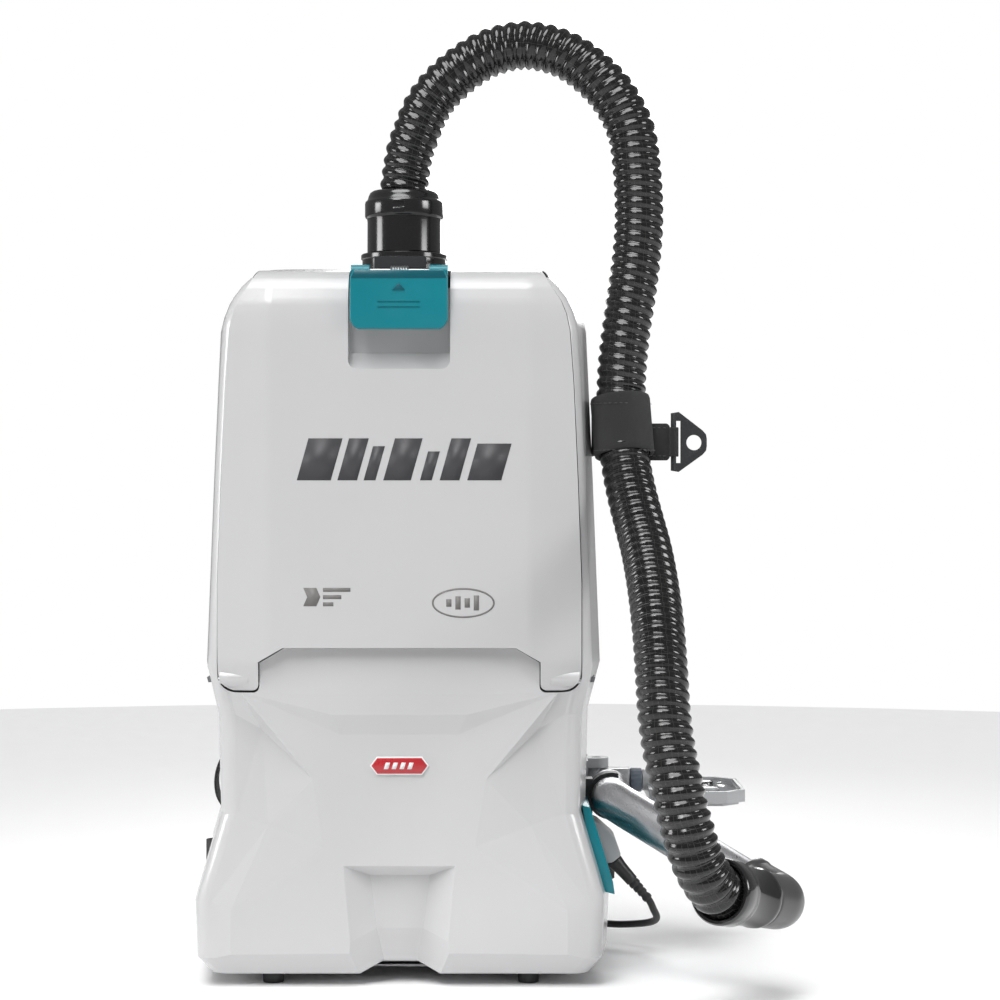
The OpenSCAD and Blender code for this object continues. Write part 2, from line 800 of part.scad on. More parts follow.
module panel_housing() {
    low = panel_top - panel_h;
    color("lightgray") difference() {
        union() {
            linear_extrude_at(low, panel_h) panel_outline(0);
            linear_extrude_at(low - 3, 4) panel_outline(5);
            rod([196.4, arm_y, arm_z], [212, arm_y, arm_z], 9, 48);
        }
        linear_extrude_at(panel_top - 3.5, 20) intersection() {
            panel_outline(3);
            translate([214, 0]) square([100, 200]);
        }
        for (at = [speed_button_at, power_button_at])
            translate([at[0], at[1], low]) cylinder(h = 20, r = button_r + 0.2, $fn = 48);
        rod([190, arm_y, arm_z], [208.5, arm_y, arm_z], 4.5, 48);
    }
}

module speed_button() {
    color("gray") translate([speed_button_at[0], speed_button_at[1], panel_top - 7])
        cylinder(h = 7, r = button_r, $fn = 48);
}

module power_button() {
    color("black") translate([power_button_at[0], power_button_at[1], panel_top - 7])
        cylinder(h = 7, r = button_r, $fn = 48);
}

module back_plate() {
    color("dimgray") difference() {
        translate([0, 90, 0]) rotate([90, 0, 0]) linear_extrude(6) {
            translate([-118, 60]) square([236, 440]);
            translate([-98, 50]) square([196, 464]);
        }
        screw_places() rod([0, 80, 0], [0, 95, 0], 5, 24);
    }
}

module back_pad() {
    color("black") translate([0, 104, 0]) rotate([90, 0, 0]) linear_extrude(13.7) {
        translate([-92, 190]) square([184, 290]);
        translate([-78, 176]) square([156, 318]);
    }
}

function strap_ring(i, s) =
    let(d = heading(strap_route, i), q = strap_route[i], t = i / (len(strap_route) - 1),
        x = s * lerp(58, 92, t), w = lerp(32, 27, t), h = i == 0 ? 4 : 6)
    [for (c = [[-w, -h + 2], [-w + 3, -h], [w - 3, -h], [w, -h + 2], [w, h - 2], [w - 3, h], [-w + 3, h], [-w, h - 2]])
        [x + c[0], q[0] + c[1] * d[1], q[1] - c[1] * d[0]]];

module shoulder_strap(s) {
    color("black") skin([for (i = [0 : len(strap_route) - 1]) strap_ring(i, s)]);
}

module shoulder_strap_left() {
    shoulder_strap(-1);
}

module shoulder_strap_right() {
    shoulder_strap(1);
}

module harness_webbing() {
    color("black") for (s = [-1, 1]) {
        skin([for (q = s > 0 ? web_right : web_left)
            [for (c = [[-1, 12], [1, 12], [1, -12], [-1, -12]]) [s * q[0] + c[0], q[1] + c[1], q[2]]]]);
    }
}

module hip_pads() {
    color("black") for (s = [-1, 1])
        linear_extrude_at(34, 64) polygon([for (c = [[20, 90.5], [100, 90.5], [140, 97], [158, 112], [166, 134],
            [154, 138], [146, 120], [132, 110], [98, 103], [20, 103]]) [s * c[0], c[1]]]);
}

module belt_buckle() {
    color("black") for (s = [-1, 1]) {
        linear_extrude_at(48, 36) polygon([for (c = [[162, 135.4], [165, 135], [176, 150], [150, 172], [60, 178],
            [60, 176], [149, 169], [172, 150]]) [s * c[0], c[1]]]);
        soft_block([s > 0 ? 20 : -60, 170, 44], [s > 0 ? 60 : -20.4, 184, 88], 4);
    }
}

module carry_handle() {
    color("black") difference() {
        block([-62, 60, 526], [62, 112, 550]);
        block([-48, 86, 510], [48, 104, 560]);
        body_form(0);
    }
}

module case_screws() {
    color("silver") screw_places() {
        rod([0, 6, 0], [0, back_y - 6, 0], 1.9, 24);
        rod([0, back_y - 6, 0], [0, back_y - 3, 0], 3.9, 24);
    }
}

main_housing();
back_shell();
lid_cover();
lid_hinge_pins();
lid_gasket();
latch_lever();
latch_pin();
latch_spring();
lid_catch();
feet();
badge();
inlet_port();
port_seal();
hose_cuff();
hose();
end_cuff();
elbow();
bent_pipe();
pipe_clip();
hose_strap();
holder_ring();
bag_bracket();
bag_card();
dust_bag();
motor_deck();
filter_frame();
filter_media();
fan_housing();
impeller();
motor_can();
stator();
rotor();
motor_shaft();
bearings();
motor_mounts();
control_board();
battery_bay();
terminal_block();
battery_pack();
battery_button();
exhaust_cover();
exhaust_foam();
cable_cover();
strain_relief();
control_cable();
arm_bracket();
arm();
clamp_knob();
panel_housing();
speed_button();
power_button();
back_plate();
back_pad();
shoulder_strap_left();
shoulder_strap_right();
harness_webbing();
hip_pads();
belt_buckle();
carry_handle();
case_screws();
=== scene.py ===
"""A backpack vacuum cleaner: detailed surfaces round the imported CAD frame.

Sizes in this file are millimetres in the frame's axes, turned into metres where meshes are made.
"""
import json
import math

import bmesh
import bpy
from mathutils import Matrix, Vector


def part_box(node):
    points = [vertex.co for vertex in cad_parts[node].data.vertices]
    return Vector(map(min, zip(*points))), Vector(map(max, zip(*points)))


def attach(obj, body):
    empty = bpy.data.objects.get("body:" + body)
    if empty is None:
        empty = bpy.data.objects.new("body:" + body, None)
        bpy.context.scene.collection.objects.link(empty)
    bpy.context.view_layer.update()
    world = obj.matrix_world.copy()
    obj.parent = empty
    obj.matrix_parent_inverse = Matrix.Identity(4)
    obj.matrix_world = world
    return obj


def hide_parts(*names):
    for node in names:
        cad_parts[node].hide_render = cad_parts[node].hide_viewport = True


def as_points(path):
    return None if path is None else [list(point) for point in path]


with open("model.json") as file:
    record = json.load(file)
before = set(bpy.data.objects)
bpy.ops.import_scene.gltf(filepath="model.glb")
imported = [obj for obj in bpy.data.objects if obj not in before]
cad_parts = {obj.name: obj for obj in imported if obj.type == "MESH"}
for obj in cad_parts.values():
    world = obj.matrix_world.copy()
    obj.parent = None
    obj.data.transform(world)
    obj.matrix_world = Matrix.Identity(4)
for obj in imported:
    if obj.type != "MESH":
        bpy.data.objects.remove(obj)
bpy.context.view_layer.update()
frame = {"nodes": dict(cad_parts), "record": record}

MM = 0.001
X_AXIS = (1, 0, 0)
SHELL_WALL = 3
SPLIT_Y = 20  # the shells meet in this plane
HINGE = (-82, 236)  # y and z of the lid's hinge
LATCH_AXIS = (0, -84, 549)
PORT_AXIS = (0, 10, 0)
ARM_AXIS = (158, 101, 0)
PANEL_AXIS = (0, 101, 139)
KEYS = ((250, 78), (250, 124))  # x and y of the speed and power buttons
LID_FACE = -94
CUFF_START = (243, -188, 89)
CUFF_END = (267, -155, 80)
PIPE_BEND = (167, 2, 134)
FLOOR_RADIUS = 2600
INNER_STEP = 6  # path points per ring of the inner wall of a tube


# ---------------------------------------------------------------- camera and cord routes
HOSE_ROUTE = [
    (0, 10, 603), (0, 10, 624), (2, 10, 640), (5, 9, 655), (10, 8, 669), (16, 7, 684), (24, 6, 697),
    (34, 4, 708), (47, 2, 719), (63, 0, 729), (80, -2, 735), (96, -4, 737), (111, -6, 735),
    (126, -8, 730), (140, -10, 722), (153, -12, 711), (164, -14, 699), (173, -15, 685), (179, -16, 672),
    (183, -17, 658), (186, -19, 630), (187, -22, 598), (185, -25, 568), (181, -28, 538),
    (176, -31, 506), (173, -34, 478), (172, -37, 456), (172, -41, 438), (173, -46, 424),
    (175, -56, 401), (179, -71, 377), (184, -90, 354), (188, -112, 334), (191, -141, 308),
    (193, -169, 278), (194, -189, 248), (195, -202, 220), (198, -210, 195), (202, -215, 175),
    (206, -217, 156), (211, -217, 138), (217, -214, 119), (225, -209, 103), (234.4, -199.8, 92.2), CUFF_START]
CABLE_ROUTE = [
    (172, 46, 77), (185, 46, 62), (198, 46, 48), (203, 52, 38), (206, 60, 31), (205, 70, 26), (199, 82, 22),
    (189, 94, 19), (176, 104, 17), (162, 111, 17), (150, 115, 19), (139, 119, 25), (131, 122, 36),
    (127, 123, 52), (127, 122, 70), (130, 119, 88), (135, 114, 103), (140, 108, 116)]
HOSE_D = 39
CABLE_D = 6


def make_camera():
    camera = bpy.data.objects.new("camera", bpy.data.cameras.new("camera"))
    camera.data.lens = 90
    camera.data.sensor_width = 36
    camera.location = (0.077, -2.0, 0.374)
    camera.rotation_euler = (math.radians(90), 0, 0)
    bpy.context.collection.objects.link(camera)
    bpy.context.scene.camera = camera


make_camera()


# ---------------------------------------------------------------- mesh helpers
def link(name, mesh):
    piece = bpy.data.objects.new(name, mesh)
    bpy.context.collection.objects.link(piece)
    return piece


def mesh_piece(name, points, faces, smooth=True):
    """A mesh object from points in millimetres, its faces turned outwards."""
    mesh = bpy.data.meshes.new(name)
    mesh.from_pydata([[c * MM for c in p] for p in points], [], faces)
    shell = bmesh.new()
    shell.from_mesh(mesh)
    bmesh.ops.remove_doubles(shell, verts=shell.verts, dist=0.00001)
    bmesh.ops.recalc_face_normals(shell, faces=shell.faces)
    shell.to_mesh(mesh)
    shell.free()
    if smooth:
        mesh.shade_smooth()
    return link(name, mesh)


def apply_modifiers(piece):
    bpy.context.view_layer.update()
    ready = piece.evaluated_get(bpy.context.evaluated_depsgraph_get())
    mesh = bpy.data.meshes.new_from_object(ready)
    piece.modifiers.clear()
    piece.data = mesh


def modify(piece, kind, **values):
    """Adds a modifier with the given settings."""
    tool = piece.modifiers.new(kind.lower(), kind)
    for key, value in values.items():
        setattr(tool, key, value)


def bevel(piece, width, segments=3, angle=20):
    modify(piece, "BEVEL", width=width * MM, segments=segments, limit_method="ANGLE",
           angle_limit=math.radians(angle))
    apply_modifiers(piece)


def smooth_by_angle(piece, angle=35):
    """Smooth shading, with creases sharper than angle kept crisp."""
    mesh = piece.data
    mesh.shade_smooth()
    shell = bmesh.new()
    shell.from_mesh(mesh)
    for edge in shell.edges:
        if len(edge.link_faces) == 2:
            edge.smooth = edge.calc_face_angle(0) < math.radians(angle)
    shell.to_mesh(mesh)
    shell.free()


def weighted(piece):
    modify(piece, "WEIGHTED_NORMAL", keep_sharp=True, weight=60)


def combine(piece, cutter, operation):
    """Boolean of two closed pieces; the cutter is used up."""
    modify(piece, "BOOLEAN", object=cutter, operation=operation, solver="EXACT")
    apply_modifiers(piece)
    bpy.data.objects.remove(cutter)


def cut(piece, *cutters):
    for cutter in cutters:
        combine(piece, cutter, "DIFFERENCE")


def loft(name, rings, caps=True):
    """Quads through rings of points, with flat caps on both ends."""
    n = len(rings[0])
    points = [p for ring in rings for p in ring]
    faces = [[k * n + i, k * n + (i + 1) % n, (k + 1) * n + (i + 1) % n, (k + 1) * n + i]
             for k in range(len(rings) - 1) for i in range(n)]
    if caps:
        faces += [list(range(n)), [(len(rings) - 1) * n + i for i in range(n)]]
    return mesh_piece(name, points, faces)


def slab(name, outline, y0, y1):
    """An outline in x and z, as a plate from depth y0 to y1."""
    return loft(name, [[(x, y, z) for x, z in outline] for y in (y0, y1)])


def rect(x0, x1, y0, y1):
    return [(x0, y0), (x1, y0), (x1, y1), (x0, y1)]


def plate_xy(name, outline, z0, z1):
    """An outline in x and y, as a plate from height z0 to z1."""
    return loft(name, [[(x, y, z) for x, y in outline] for z in (z0, z1)])


def box(name, a, b):
    return plate_xy(name, rect(a[0], b[0], a[1], b[1]), a[2], b[2])


def angles(count):
    """Evenly spaced angles of a full turn."""
    return [2 * math.pi * i / count for i in range(count)]


def corner_points(cx, cy, r, start, sweep, steps):
    """Points on an arc, by its start and sweep in degrees."""
    turns = [math.radians(start + sweep * i / steps) for i in range(steps + 1)]
    return [(cx + r * math.cos(a), cy + r * math.sin(a)) for a in turns]


def pillow(angle, flat_u=0.35, flat_v=0.5):
    """A point on a rounded oblong whose sides are at -1 and 1."""
    c, s = math.cos(angle), math.sin(angle)
    return math.copysign(abs(c) ** flat_u, c), math.copysign(abs(s) ** flat_v, s)


def turned(name, profile, centre, axis=(0, 0, 1), sides=96, closed_profile=True):
    """A profile of (radius, height) turned about an axis through centre."""
    turn = Vector((0, 0, 1)).rotation_difference(Vector(axis)).to_matrix()
    rings = []
    for r, h in profile:
        rings.append([tuple(Vector(centre) + turn @ Vector((r * math.cos(a), r * math.sin(a), h)))
                      for a in angles(sides)])
    if closed_profile:
        rings.append(rings[0])
    return loft(name, rings, caps=not closed_profile)


def rod(name, radius, low, high, centre, axis=(0, 0, 1), sides=48):
    return turned(name, [(radius, low), (radius, high)], centre, axis, sides, False)


def measured_path(points, step):
    """Evenly spaced points along a Catmull-Rom curve through the given points."""
    pts = [Vector(p) for p in points]
    pts = [2 * pts[0] - pts[1]] + pts + [2 * pts[-1] - pts[-2]]
    dense = []
    for a, b, c, d in zip(pts, pts[1:], pts[2:], pts[3:]):
        for i in range(24):
            t = i / 24
            dense.append(0.5 * (2 * b + (c - a) * t + (2 * a - 5 * b + 4 * c - d) * t * t
                                + (3 * b - a - 3 * c + d) * t ** 3))
    dense.append(pts[-2])
    lengths = [0]
    for a, b in zip(dense, dense[1:]):
        lengths.append(lengths[-1] + (b - a).length)
    count = max(2, round(lengths[-1] / step))
    out = []
    k = 0
    for i in range(count + 1):
        want = lengths[-1] * i / count
        while k < len(dense) - 2 and lengths[k + 1] < want:
            k += 1
        t = (want - lengths[k]) / max(1e-9, lengths[k + 1] - lengths[k])
        out.append(dense[k].lerp(dense[k + 1], t))
    return out, lengths[-1]


def smooth_path(points, step):
    return measured_path(points, step)[0]


def tangent(path, i):
    return (path[min(i + 1, len(path) - 1)] - path[max(i - 1, 0)]).normalized()


def path_frames(path):
    """A turning-free (side, up) pair at every point of a path."""
    tangents = [tangent(path, i) for i in range(len(path))]
    side = tangents[0].orthogonal().normalized()
    frames = []
    for i, t in enumerate(tangents):
        if i:
            side = tangents[i - 1].rotation_difference(t) @ side
        side = (side - t * side.dot(t)).normalized()
        frames.append((side, t.cross(side)))
    return frames


def swept_tube(name, path, radius, sides=32, wall=None):
    """A tube along a path. radius(i, angle) gives its outside; a wall makes it hollow."""
    frames = path_frames(path)

    def ring(i, less):
        u, v = frames[i]
        return [tuple(path[i] + (radius(i, a) - less) * (math.cos(a) * u + math.sin(a) * v))
                for a in angles(sides)]

    last = len(path) - 1
    rings = [ring(i, 0) for i in range(last + 1)]
    if wall:
        inner = sorted(set(range(0, last + 1, INNER_STEP)) | {last}, reverse=True)
        rings += [ring(i, wall) for i in inner] + [rings[0]]
    return loft(name, rings, caps=not wall)


def ribbon(name, path, width, thick, across):
    """Flat webbing along a path: across is the direction of its width."""
    rings = []
    for i, p in enumerate(path):
        t = tangent(path, i)
        w = Vector(across)
        w = (w - t * w.dot(t)).normalized()
        n = t.cross(w)
        h = thick / 2
        e = width / 2
        rings.append([tuple(p + w * a + n * b) for a, b in (
            (-e, -0.5 * h), (-e + 0.6, -h), (e - 0.6, -h), (e, -0.5 * h),
            (e, 0.5 * h), (e - 0.6, h), (-e + 0.6, h), (-e, 0.5 * h))])
    return loft(name, rings)


def finish_piece(piece, body, slot, *nodes, material=None, soft=None, crisp=None):
    """Gives a piece its slot's material (or the one given), parents it to its body's empty and hides the CAD
    nodes it replaces. soft is its bevel (width, segments, angle); creases over crisp degrees stay sharp.
    """
    if soft:
        bevel(piece, *soft)
    if crisp:
        smooth_by_angle(piece, crisp)
    piece.data.materials.clear()
    piece.data.materials.append(material or SLOT_MATERIALS[slot])
    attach(piece, body)
    if nodes:
        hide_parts(*nodes)
    return piece


# ---------------------------------------------------------------- materials
def new_material(name):
    material = bpy.data.materials.new(name)
    material.use_nodes = True
    nodes = material.node_tree.nodes
    return material, nodes, material.node_tree.links, nodes["Principled BSDF"]


def add(nodes, kind, **values):
    node = nodes.new(kind)
    for key, value in values.items():
        if key in node.inputs:
            node.inputs[key].default_value = value
        else:
            setattr(node, key, value)
    return node


def ramp(nodes, links, source, stops):
    node = nodes.new("ShaderNodeValToRGB")
    node.color_ramp.elements[0].position = stops[0][0]
    node.color_ramp.elements[0].color = stops[0][1]
    node.color_ramp.elements[1].position = stops[-1][0]
    node.color_ramp.elements[1].color = stops[-1][1]
    for place, colour in stops[1:-1]:
        node.color_ramp.elements.new(place).color = colour
    links.new(source, node.inputs["Fac"])
    return node


def grey(value):
    return (value, value, value, 1)


def noise(nodes, links, place, **values):
    node = add(nodes, "ShaderNodeTexNoise", **values)
    links.new(place, node.inputs["Vector"])
    return node


def bump_from(nodes, links, height, shader, strength, distance):
    bump = add(nodes, "ShaderNodeBump", Strength=strength, Distance=distance)
    links.new(height, bump.inputs["Height"])
    links.new(bump.outputs["Normal"], shader.inputs["Normal"])


def shades(nodes, links, source, shader, socket, stops):
    """A colour ramp from a source to a socket of the shader."""
    links.new(ramp(nodes, links, source, stops).outputs["Color"], shader.inputs[socket])


def plastic(name, colour, rough=0.3, grain=0.0, coat=0.0, spread=0.06, grain_scale=900, wear=0.18):
    """Moulded plastic: faint colour drift, handling smudges in the gloss, and a fine grain."""
    material, nodes, links, shader = new_material(name)
    place = add(nodes, "ShaderNodeTexCoord")
    drift = noise(nodes, links, place.outputs["Object"], Scale=9.0, Detail=3.0)
    dark = [c * (1 - spread) for c in colour] + [1]
    light = [min(1, c * (1 + spread)) for c in colour] + [1]
    shades(nodes, links, drift.outputs["Fac"], shader, "Base Color", [(0.3, dark), (0.7, light)])
    smudge = noise(nodes, links, place.outputs["Object"], Scale=34.0, Detail=5.0, Roughness=0.6)
    shades(nodes, links, smudge.outputs["Fac"], shader, "Roughness", [
        (0.3, grey(rough * (1 - wear))), (0.75, grey(min(1, rough * (1 + wear))))])
    shader.inputs["Coat Weight"].default_value = coat
    shader.inputs["Coat Roughness"].default_value = 0.12
    if grain:
        fine = noise(nodes, links, place.outputs["Object"], Scale=float(grain_scale), Detail=2.0)
        bump_from(nodes, links, fine.outputs["Fac"], shader, grain, 0.0002)
    return material


def cloth(name, colour, scale=700, strength=0.6, sheen=0.4):
    """Woven cloth: two crossing sets of threads with uneven colour."""
    material, nodes, links, shader = new_material(name)
    place = add(nodes, "ShaderNodeTexCoord")
    warp = add(nodes, "ShaderNodeTexWave", Scale=float(scale), Distortion=0.6, Detail=1.0)
    weft = add(nodes, "ShaderNodeTexWave", Scale=float(scale), Distortion=0.6, Detail=1.0)
    warp.bands_direction = "X"
    weft.bands_direction = "Z"
    for wave in (warp, weft):
        links.new(place.outputs["Object"], wave.inputs["Vector"])
    both = add(nodes, "ShaderNodeMath", operation="MULTIPLY")
    links.new(warp.outputs["Fac"], both.inputs[0])
    links.new(weft.outputs["Fac"], both.inputs[1])
    drift = noise(nodes, links, place.outputs["Object"], Scale=25.0, Detail=4.0)
    mixed = add(nodes, "ShaderNodeMath", operation="MULTIPLY_ADD")
    links.new(both.outputs[0], mixed.inputs[0])
    mixed.inputs[1].default_value = 0.6
    links.new(drift.outputs["Fac"], mixed.inputs[2])
    shades(nodes, links, mixed.outputs[0], shader, "Base Color", [
        (0.3, [c * 0.5 for c in colour] + [1]), (1.0, [min(1, c * 1.6) for c in colour] + [1])])
    shader.inputs["Roughness"].default_value = 0.85
    shader.inputs["Sheen Weight"].default_value = sheen
    bump_from(nodes, links, both.outputs[0], shader, strength, 0.0005)
    return material


def metal(name, colour, rough=0.3, streak=(2, 60, 2)):
    """Drawn or brushed metal: fine streaks along the part in gloss and bump."""
    material, nodes, links, shader = new_material(name)
    place = add(nodes, "ShaderNodeTexCoord")
    stretch = add(nodes, "ShaderNodeMapping")
    stretch.inputs["Scale"].default_value = streak
    links.new(place.outputs["Object"], stretch.inputs["Vector"])
    lines = noise(nodes, links, stretch.outputs["Vector"], Scale=22.0, Detail=6.0)
    shades(nodes, links, lines.outputs["Fac"], shader, "Base Color", [
        (0.25, [c * 0.9 for c in colour] + [1]), (0.75, [min(1, c * 1.05) for c in colour] + [1])])
    shades(nodes, links, lines.outputs["Fac"], shader, "Roughness",
           [(0.2, grey(rough * 0.8)), (0.8, grey(rough * 1.25))])
    shader.inputs["Metallic"].default_value = 1.0
    bump_from(nodes, links, lines.outputs["Fac"], shader, 0.12, 0.0001)
    return material


def rubber(name, colour, rough=0.6):
    return plastic(name, colour, rough=rough, grain=0.35, grain_scale=1400, spread=0.15)


def hose_material():
    """Smoky glossy plastic with a grid of thin lighter threads under the ribs."""
    material, nodes, links, shader = new_material("hose_skin")
    place = add(nodes, "ShaderNodeUVMap", uv_map="along")
    split = add(nodes, "ShaderNodeSeparateXYZ")
    links.new(place.outputs["UV"], split.inputs["Vector"])
    lines = []
    for axis, count, width in (("X", 26.0, 0.11), ("Y", 2.0, 0.10)):
        scaled = add(nodes, "ShaderNodeMath", operation="MULTIPLY")
        scaled.inputs[1].default_value = count
        links.new(split.outputs[axis], scaled.inputs[0])
        part = add(nodes, "ShaderNodeMath", operation="FRACT")
        links.new(scaled.outputs[0], part.inputs[0])
        edge = add(nodes, "ShaderNodeMath", operation="LESS_THAN")
        links.new(part.outputs[0], edge.inputs[0])
        edge.inputs[1].default_value = width
        lines.append(edge)
    either = add(nodes, "ShaderNodeMath", operation="MAXIMUM")
    links.new(lines[0].outputs[0], either.inputs[0])
    links.new(lines[1].outputs[0], either.inputs[1])
    shades(nodes, links, either.outputs[0], shader, "Base Color",
           [(0.0, grey(0.009)), (1.0, (0.03, 0.03, 0.029, 1))])
    smudge = add(nodes, "ShaderNodeTexNoise", Scale=60.0, Detail=4.0)
    shades(nodes, links, smudge.outputs["Fac"], shader, "Roughness", [(0.3, grey(0.10)), (0.8, grey(0.24))])
    shader.inputs["Specular IOR Level"].default_value = 0.4
    shader.inputs["Coat Weight"].default_value = 0.35
    shader.inputs["Coat Roughness"].default_value = 0.05
    return material


WHITE = plastic("shell_white_gloss", (0.55, 0.55, 0.555), rough=0.26, coat=0.3, spread=0.012, grain=0.03,
                wear=0.05)
BLACK = plastic("black_gloss", (0.012, 0.012, 0.013), rough=0.16, coat=0.5, spread=0.2)
DARK = plastic("dark_grained", (0.022, 0.023, 0.025), rough=0.5, grain=0.4, spread=0.12)
ELBOW_GREY = plastic("elbow_grey", (0.055, 0.054, 0.056), rough=0.34, grain=0.12, coat=0.15, spread=0.1)
TEAL = plastic("teal_satin", (0.0, 0.19, 0.235), rough=0.36, grain=0.18, spread=0.05)
TEAL_DARK = plastic("teal_dark", (0.0, 0.085, 0.115), rough=0.34, grain=0.18, spread=0.05)
RED = plastic("badge_red", (0.46, 0.022, 0.03), rough=0.3, coat=0.4, spread=0.04)
INK = plastic("print_grey", (0.05, 0.05, 0.054), rough=0.5, spread=0.03, wear=0.05)
INK_LIGHT = plastic("print_light", (0.17, 0.165, 0.16), rough=0.5, spread=0.03, wear=0.05)
PAINT_WHITE = plastic("print_white", (0.8, 0.8, 0.8), rough=0.35, spread=0.03)
ARM_GREY = plastic("arm_grey", (0.40, 0.41, 0.42), rough=0.34, grain=0.12, coat=0.1, spread=0.03)
PANEL_TOP = plastic("panel_top", (0.26, 0.27, 0.28), rough=0.12, coat=0.5, spread=0.03)
SLATE = plastic("knob_slate", (0.12, 0.145, 0.18), rough=0.42, grain=0.25, spread=0.06)
CABLE = rubber("cable_rubber", (0.012, 0.012, 0.013), rough=0.42)
SEAL = rubber("seal_rubber", (0.02, 0.02, 0.021), rough=0.65)
PIPE = metal("pipe_satin", (0.62, 0.62, 0.635), rough=0.3, streak=(60, 2, 60))
STEEL = metal("steel", (0.55, 0.56, 0.57), rough=0.28)
ALUMINIUM = metal("aluminium", (0.62, 0.62, 0.63), rough=0.38)
IRON = metal("iron", (0.23, 0.22, 0.22), rough=0.5)
FABRIC = cloth("harness_cloth", (0.02, 0.02, 0.022))
MESH_FABRIC = cloth("spacer_mesh", (0.03, 0.03, 0.033), scale=320, strength=1.0, sheen=0.2)
WEBBING = cloth("webbing", (0.014, 0.014, 0.015), scale=1100, strength=0.8, sheen=0.15)
THREAD = cloth("thread", (0.06, 0.06, 0.065), scale=2500, strength=0.5)
BAG = plastic("bag_fleece", (0.70, 0.69, 0.66), rough=0.9, grain=0.5, spread=0.03, grain_scale=700)
CARD = plastic("card", (0.42, 0.31, 0.19), rough=0.8, grain=0.5, spread=0.12)
PAPER = plastic("paper", (0.74, 0.74, 0.71), rough=0.85, grain=0.4, spread=0.04)
DECK = plastic("deck_grey", (0.16, 0.165, 0.17), rough=0.5, grain=0.3)
BOARD = plastic("board_green", (0.02, 0.14, 0.06), rough=0.35, coat=0.3, spread=0.15)
HOSE_SKIN = hose_material()

SLOT_MATERIALS = {
    "shell_white": WHITE, "steel": STEEL, "seal_rubber": SEAL, "teal_plastic": TEAL, "dark_plastic": DARK,
    "black_plastic": BLACK, "hose_black": HOSE_SKIN, "pipe_metal": PIPE, "badge_red": RED, "webbing": WEBBING,
    "harness_fabric": FABRIC, "card": CARD, "bag_cloth": BAG, "filter_paper": PAPER, "deck_grey": DECK,
    "cast_aluminium": ALUMINIUM, "motor_iron": IRON, "board_green": BOARD, "arm_grey": ARM_GREY,
    "knob_slate": SLATE, "cable_rubber": CABLE}


def dress_cad_nodes():
    """Every CAD node that stays gets its slot's material."""
    for part in frame["record"]["subparts"]:
        mesh = frame["nodes"][part["node"]].data
        mesh.materials.clear()
        mesh.materials.append(SLOT_MATERIALS[part["material_slot"]])


dress_cad_nodes()


# ---------------------------------------------------------------- hose and cable
def make_hose():
    step = 1.1
    pitch = 9.0
    path, length = measured_path(HOSE_ROUTE, step)
    sides = 56
    peak = HOSE_D / 2
    depth = 2.5

    def radius(i, angle):
        turn = (i * step / pitch + angle / (2 * math.pi)) % 1.0
        wave = 0.5 + 0.5 * math.cos(2 * math.pi * turn)
        return peak - depth * (1 - wave ** 0.55)

    hose = swept_tube("ribbed_hose", path, radius, sides, wall=3.2)
    mesh = hose.data
    uv = mesh.uv_layers.new(name="along")
    rings = len(path)
    for face in mesh.polygons:
        rows = [mesh.loops[k].vertex_index // sides for k in face.loop_indices]
        cols = [mesh.loops[k].vertex_index % sides for k in face.loop_indices]
        wraps = max(cols) - min(cols) > 2
        for k, row, col in zip(face.loop_indices, rows, cols):
            if wraps and col == 0:
                col = sides
            u = col / sides
            v = min(row, rings) * step / pitch + u
            uv.data[k].uv = (u, v)
    finish_piece(hose, "root", "hose_black", "hose")
    return hose, [tuple(p * MM) for p in path], length * MM


def make_cable():
    path, length = measured_path(CABLE_ROUTE, 3)
    cable = swept_tube("control_lead", path, lambda i, a: CABLE_D / 2 - 0.05, 16)
    finish_piece(cable, "root", "cable_rubber", "control_cable")
    return cable, [tuple(p * MM) for p in path], length * MM


def make_strain_relief():
    """A tapered sleeve with relief slots, which the cable leaves through."""
    top = Vector((166, 46, 84))
    tip = Vector(CABLE_ROUTE[2])
    aim = (tip - top).normalized()
    reach = (tip - top).length
    profile = [(2.6, 5), (6.4, 5), (6.6, 8), (5.7, 14), (5.2, 24)]
    for k in range(4):
        h = 26 + 4.6 * k
        r = 5.1 - 0.38 * k
        profile += [(r, h), (r, h + 2.6), (r - 0.8, h + 3.0), (r - 0.8, h + 4.2)]
    profile += [(3.9, reach - 2.5), (4.1, reach - 1.5), (3.8, reach + 0.5), (2.6, reach + 0.5)]
    sleeve = turned("relief_sleeve", profile, tuple(top), tuple(aim), 40)
    return finish_piece(sleeve, "root", "cable_rubber", "strain_relief")


def make_end_cuff():
    a, b = Vector(CUFF_START), Vector(CUFF_END)
    aim = (b - a).normalized()
    reach = (b - a).length
    profile = [(20.3, -13), (21.2, -14.5), (23.3, -14.8), (24.3, -13.6), (24.5, -11), (24.3, 1.5), (23.2, 3),
               (22.4, 4.2), (22.0, 8), (21.7, reach - 8), (22.3, reach - 6.8), (22.3, reach - 3),
               (21.6, reach - 1),
               (20.8, reach), (16.1, reach), (16.1, 1), (21.9, 0.8), (21.9, -11)]
    cuff = turned("hose_end_cuff", profile, tuple(a), tuple(aim), 96)
    return finish_piece(cuff, "outlet_cuff", "black_plastic", "end_cuff", crisp=50)


